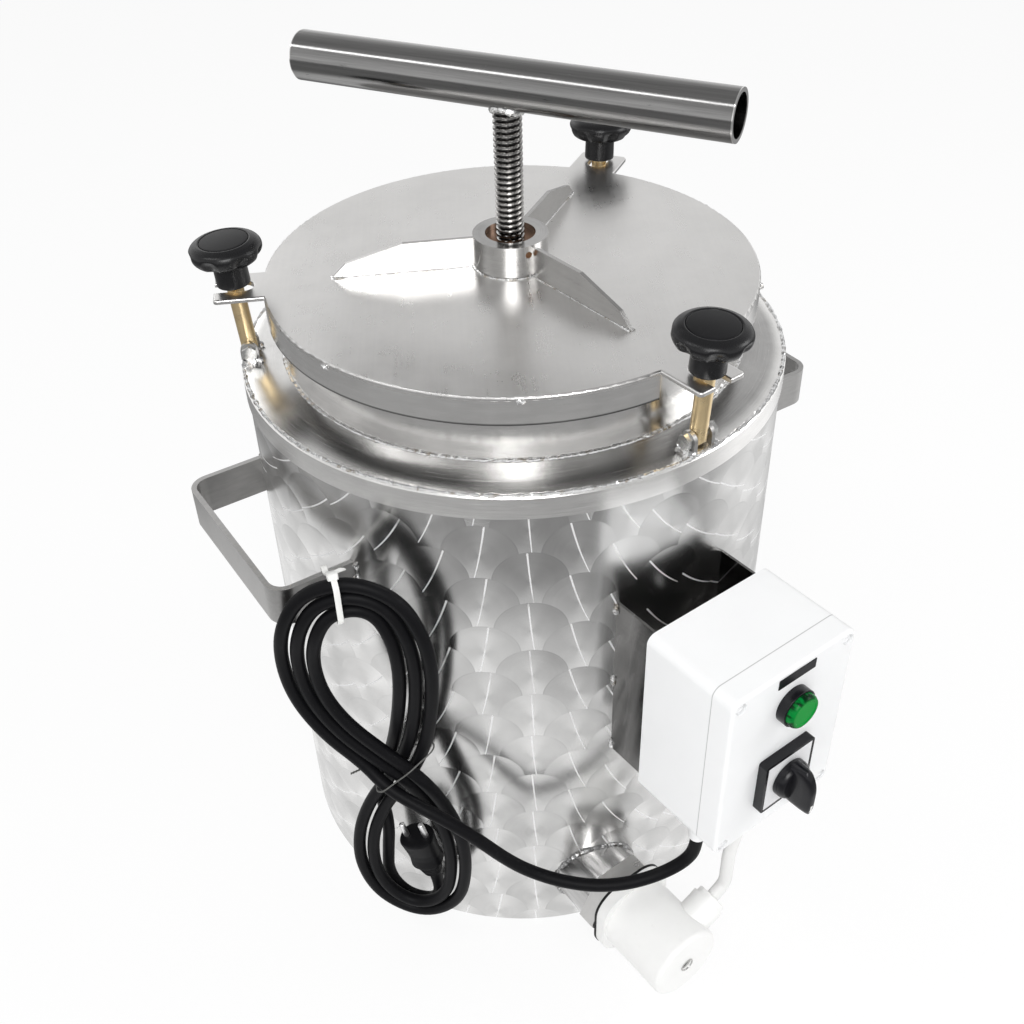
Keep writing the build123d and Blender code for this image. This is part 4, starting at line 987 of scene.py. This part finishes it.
def waist_wire():
    """Thin wire tie round the crossing, on a plane that rises along the hank. Its twisted end sticks out: two
    strands that wind round one quadratic curve."""
    corners = [(-33.2, -20.4), (-27.2, -23.8), (-17, -23.3), (2, -19.2), (21.6, -14.6), (27.4, -10.6),
               (27.3, -4.1), (18.5, 3.6), (9.8, 10.4), (-0.5, 15.3), (-9.9, 19.8), (-14.7, 19.8),
               (-19.9, 15.8), (-26.4, 0.2), (-33.2, -15.6)]
    along = np.array((cos(HANK_BEARING), sin(HANK_BEARING), 0))
    slant = along * cos(radians(36)) + np.array((0, 0, sin(radians(36))))
    out = np.array((sin(HANK_BEARING), -cos(HANK_BEARING), 0))
    path = np.array(hank_point(-41, 215, 0)) + closed_line(corners, 200) @ np.array([slant, out])
    ring = weave(tube(path, 0.6, 8, np.cross(slant, out), True), True, True)
    end = np.array([hank_point(*point) for point in ((-67.5, 196, -18), (-71, 198.5, -8), (-81, 202.5, 5))])
    t = np.linspace(0, 1, 60)[:, None]
    sweep = (1 - t) ** 2 * end[0] + 2 * t * (1 - t) * end[1] + t * t * end[2]
    strands = []
    for start in (0, pi):
        turn = t * 40 + start
        wound = sweep + 0.5 * (np.cos(turn) * np.array((0, 0, 1)) + np.sin(turn) * out)
        strands.append(weave(tube(wound, 0.5, 6, (0, 0, 1))))
    return joined([ring, *strands])


waist = piece("wire_tie", waist_wire(), wire_grey, "vessel", "black_rubber", "waist_tie")


def relief():
    """Tapered strain relief under the mains gland: its radius shrinks evenly downwards, and falls at each
    slot between two ridges."""
    top, long, bore = 189.5, 22.5, 5.15
    down = np.linspace(0, long, 46)
    slot = ((down % 4.5) > 3.2) * (down > 2) * (down < 21.5)
    outside = np.column_stack([7.9 - down * 0.075 - 0.9 * slot, top - down])
    ring = np.vstack([outside, [(bore, top - long), (bore, top)]])
    return weave(lathe(ring, 48) + (*lead_points[0][:2], 0), True, True)


piece("cord_relief", relief(), rubber_black, "vessel", "black_rubber")

[value * MM for value in heater_route[0]]


# Lamp and switch

def to_front(points, x, z):
    """Points built on an upright axis, turned so that up faces -Y, and moved along X and Z."""
    return points @ np.array([(1, 0, 0), (0, 0, 1), (0, -1, 0)]) + (x, 0, z)


def lamp_lens():
    """Lens cap: a fluted side, a chamfer, and a front face that dips inside a raised ring."""
    outline = rounded([(0.3, 316, 0), (13.2, 316, 0), (13.2, 320.3, 0.8), (11.9, 322.7, 0.7),
                       (9.9, 322.8, 0.3), (9.5, 322.2, 0.3), (0.3, 322.5, 0)], 4)
    count, deep, side_ends = 36, 0.012, 320.5

    def flutes(height, turn):
        return 1 - deep * (height < side_ends) * (0.5 - 0.5 * np.cos(count * turn))

    return weave(to_front(lathe(outline, 216, flutes), BOX_X, LAMP_Z))


piece("lens_cap", lamp_lens(), lens, "vessel", "green_lens", "lamp_lens")


FIN_HALF = 19.4  # half the length of the lever's fin


def crest_line(height):
    """How far the fin's crest stands forward at a height above its middle. It drops at both ends, and
    further at the upper one, by powers of the height's share of half the fin's length."""
    share = height / FIN_HALF
    return 340.9 - 1.2 * np.abs(share) ** 5 - 6.5 * np.clip(share, 0, 1) ** 2.2


def lever_shape():
    """Round collar with a fin across it. The fin's half width shrinks from foot to crest, and at both ends
    by the root of 1 less a power of the share of its half length."""
    collar = lathe(rounded([(0.3, 308, 0), (3, 308, 0), (3, 317.5, 0), (15, 317.6, 0.5), (15, 322.6, 1.2),
                            (13.4, 325.6, 1.2), (0.3, 325.8, 0)], 4), 96)
    foot, half_width = 322, 5
    along = np.linspace(-1, 1, 41)
    side = [(0.3, 0), (1, 0), (1, 0.25), (0.92, 0.6), (0.74, 0.88), (0.5, 0.985), (0.2, 1)]
    section = np.array(side + [(-share, rise) for share, rise in side[::-1]])
    half = half_width * np.sqrt(np.clip(1 - np.abs(along) ** 7, 0.02, 1))
    crest = crest_line(along * FIN_HALF)
    fin = np.empty((len(along), len(section), 3))
    fin[..., 0] = half[:, None] * section[:, 0]
    fin[..., 1] = (along * FIN_HALF)[:, None]
    fin[..., 2] = foot + (crest - foot)[:, None] * section[:, 1]
    return joined([weave(to_front(shape, BOX_X, SWITCH_Z)) for shape in (collar, fin)])


piece("lever_fin", lever_shape(), switch_black, "switch_lever", "black_plastic", "switch_lever")


def lever_mark():
    """Small white mark let into the fin's crest near its lower end."""
    proud, thick = 0.08, 0.5
    x, z = np.meshgrid(np.linspace(-1, 1, 4), np.linspace(-16.6, -9.8, 8))
    top = np.stack([x + BOX_X, -crest_line(z) - proud, z + SWITCH_Z], -1)
    rim = np.concatenate([top[0], top[1:-1, -1], top[-1, ::-1], top[-2:0:-1, 0]])
    return weave(np.stack([rim + (0, thick, 0), rim]))


piece("lever_mark", lever_mark(), tie_white, "switch_lever", "white_plastic")


def end_eyelet():
    """Metal eyelet round the screw in the end of the heater's cover."""
    profile = [(4.55, 295), (6, 296.8), (6, 297.5), (5.5, 297.8), (4.9, 297.5), (4.55, 296.6)]
    return weave(to_front(lathe(profile, 48), HEATER_X, HEATER_Z), True, True)


piece("end_eyelet", end_eyelet(), small_steel, "vessel", "stainless")


# Floor, backdrop and light

def stage_floor():
    """Pale floor, as white as the backdrop to the eye, less its shadow. Mirrors see it greyer far from a
    middle to the left and behind, except round a lit patch on the right."""
    wide, level = 6, -0.0005
    corners = [(x * wide, y * wide, level) for x, y in ((-1, -1), (1, -1), (1, 1), (-1, 1))]
    mesh = bpy.data.meshes.new("floor")
    mesh.from_pydata(corners, [], [(0, 1, 2, 3)])
    finish = Finish("floor", (0.96, 0.96, 0.96), 0.9)
    camera, glossy, clear = (finish.node("LightPath", {}, {}, index) for index in (0, 3, 6))
    x, y, z = finish.place()
    middle, patch = (finish.node("VectorMath", {"operation": "DISTANCE"}, [finish.point(x, y, 0), spot], 1)
                     for spot in ((-120, 60, 0), (760, -300, 0)))
    fall = middle.ramp(430, 700, 1, 0.2).most(patch.ramp(150, 800, 1, 0))
    white = finish.node("Emission", {}, {"Color": (1, 1, 1, 1), "Strength": camera + (1 - camera) * fall})
    plain = Field(finish, finish.shader.outputs[0])
    blend = finish.node("MixShader", {}, [camera.most(glossy).most(clear) * 0.86, plain, white])
    finish.feed(finish.tree.nodes["Material Output"].inputs["Surface"], blend)
    mesh.materials.append(finish.material)
    added("floor", mesh)


def stage_world():
    """White to the eye. Mirrors see it white near the horizon and greyer overhead, and it lights the object
    more softly."""
    world = bpy.data.worlds.new("studio")
    world.use_nodes = True
    bpy.context.scene.world = world
    sky = Graph(world.node_tree)
    camera, glossy, clear = (sky.node("LightPath", {}, {}, index) for index in (0, 3, 6))
    height = sky.node("SeparateXYZ", {}, [sky.node("TexCoord", {}, {}, 0)], 2)
    mirrored = height.ramp(0.12, 0.95, 1, 0.38)
    mirror = glossy.most(clear)
    strength = camera + (1 - camera) * (mirror * mirrored + (1 - mirror) * 0.62)
    background = sky.tree.nodes["Background"].inputs
    sky.feed(background["Strength"], strength)
    sky.feed(background["Color"], (1, 1, 1, 1))


def lamp(name, place, aim, size, power, length=None, way=(1, 0, 0)):
    """Soft light at a place, aimed at a point: a square, or a strip whose length runs nearest to a way."""
    data = bpy.data.lights.new(name, "AREA")
    data.shape = "RECTANGLE"
    data.size = length or size
    data.size_y = size
    data.energy = power
    back = (Vector(place) - Vector(aim)).normalized()
    top = back.cross(Vector(way)).normalized()
    axes = Matrix((top.cross(back), top, back)).transposed().to_4x4()
    added(name, data).matrix_world = Matrix.Translation(place) @ axes


stage_floor()
stage_world()
lamp("key", (-1.15, -1.5, 1.9), (0, 0, 0.4), 1.1, 28)
lamp("fill", (1.7, -1.3, 1.4), (0, 0, 0.3), 0.9, 11)
lamp("back", (0.15, 2, 1.5), (0, 0, 0.4), 0.8, 1.5)
lamp("strip", (-1.29, 0.27, 2.15), (0, 0, TEE_LEVEL * MM), 0.2, 4.6, 1.25, tee_way)
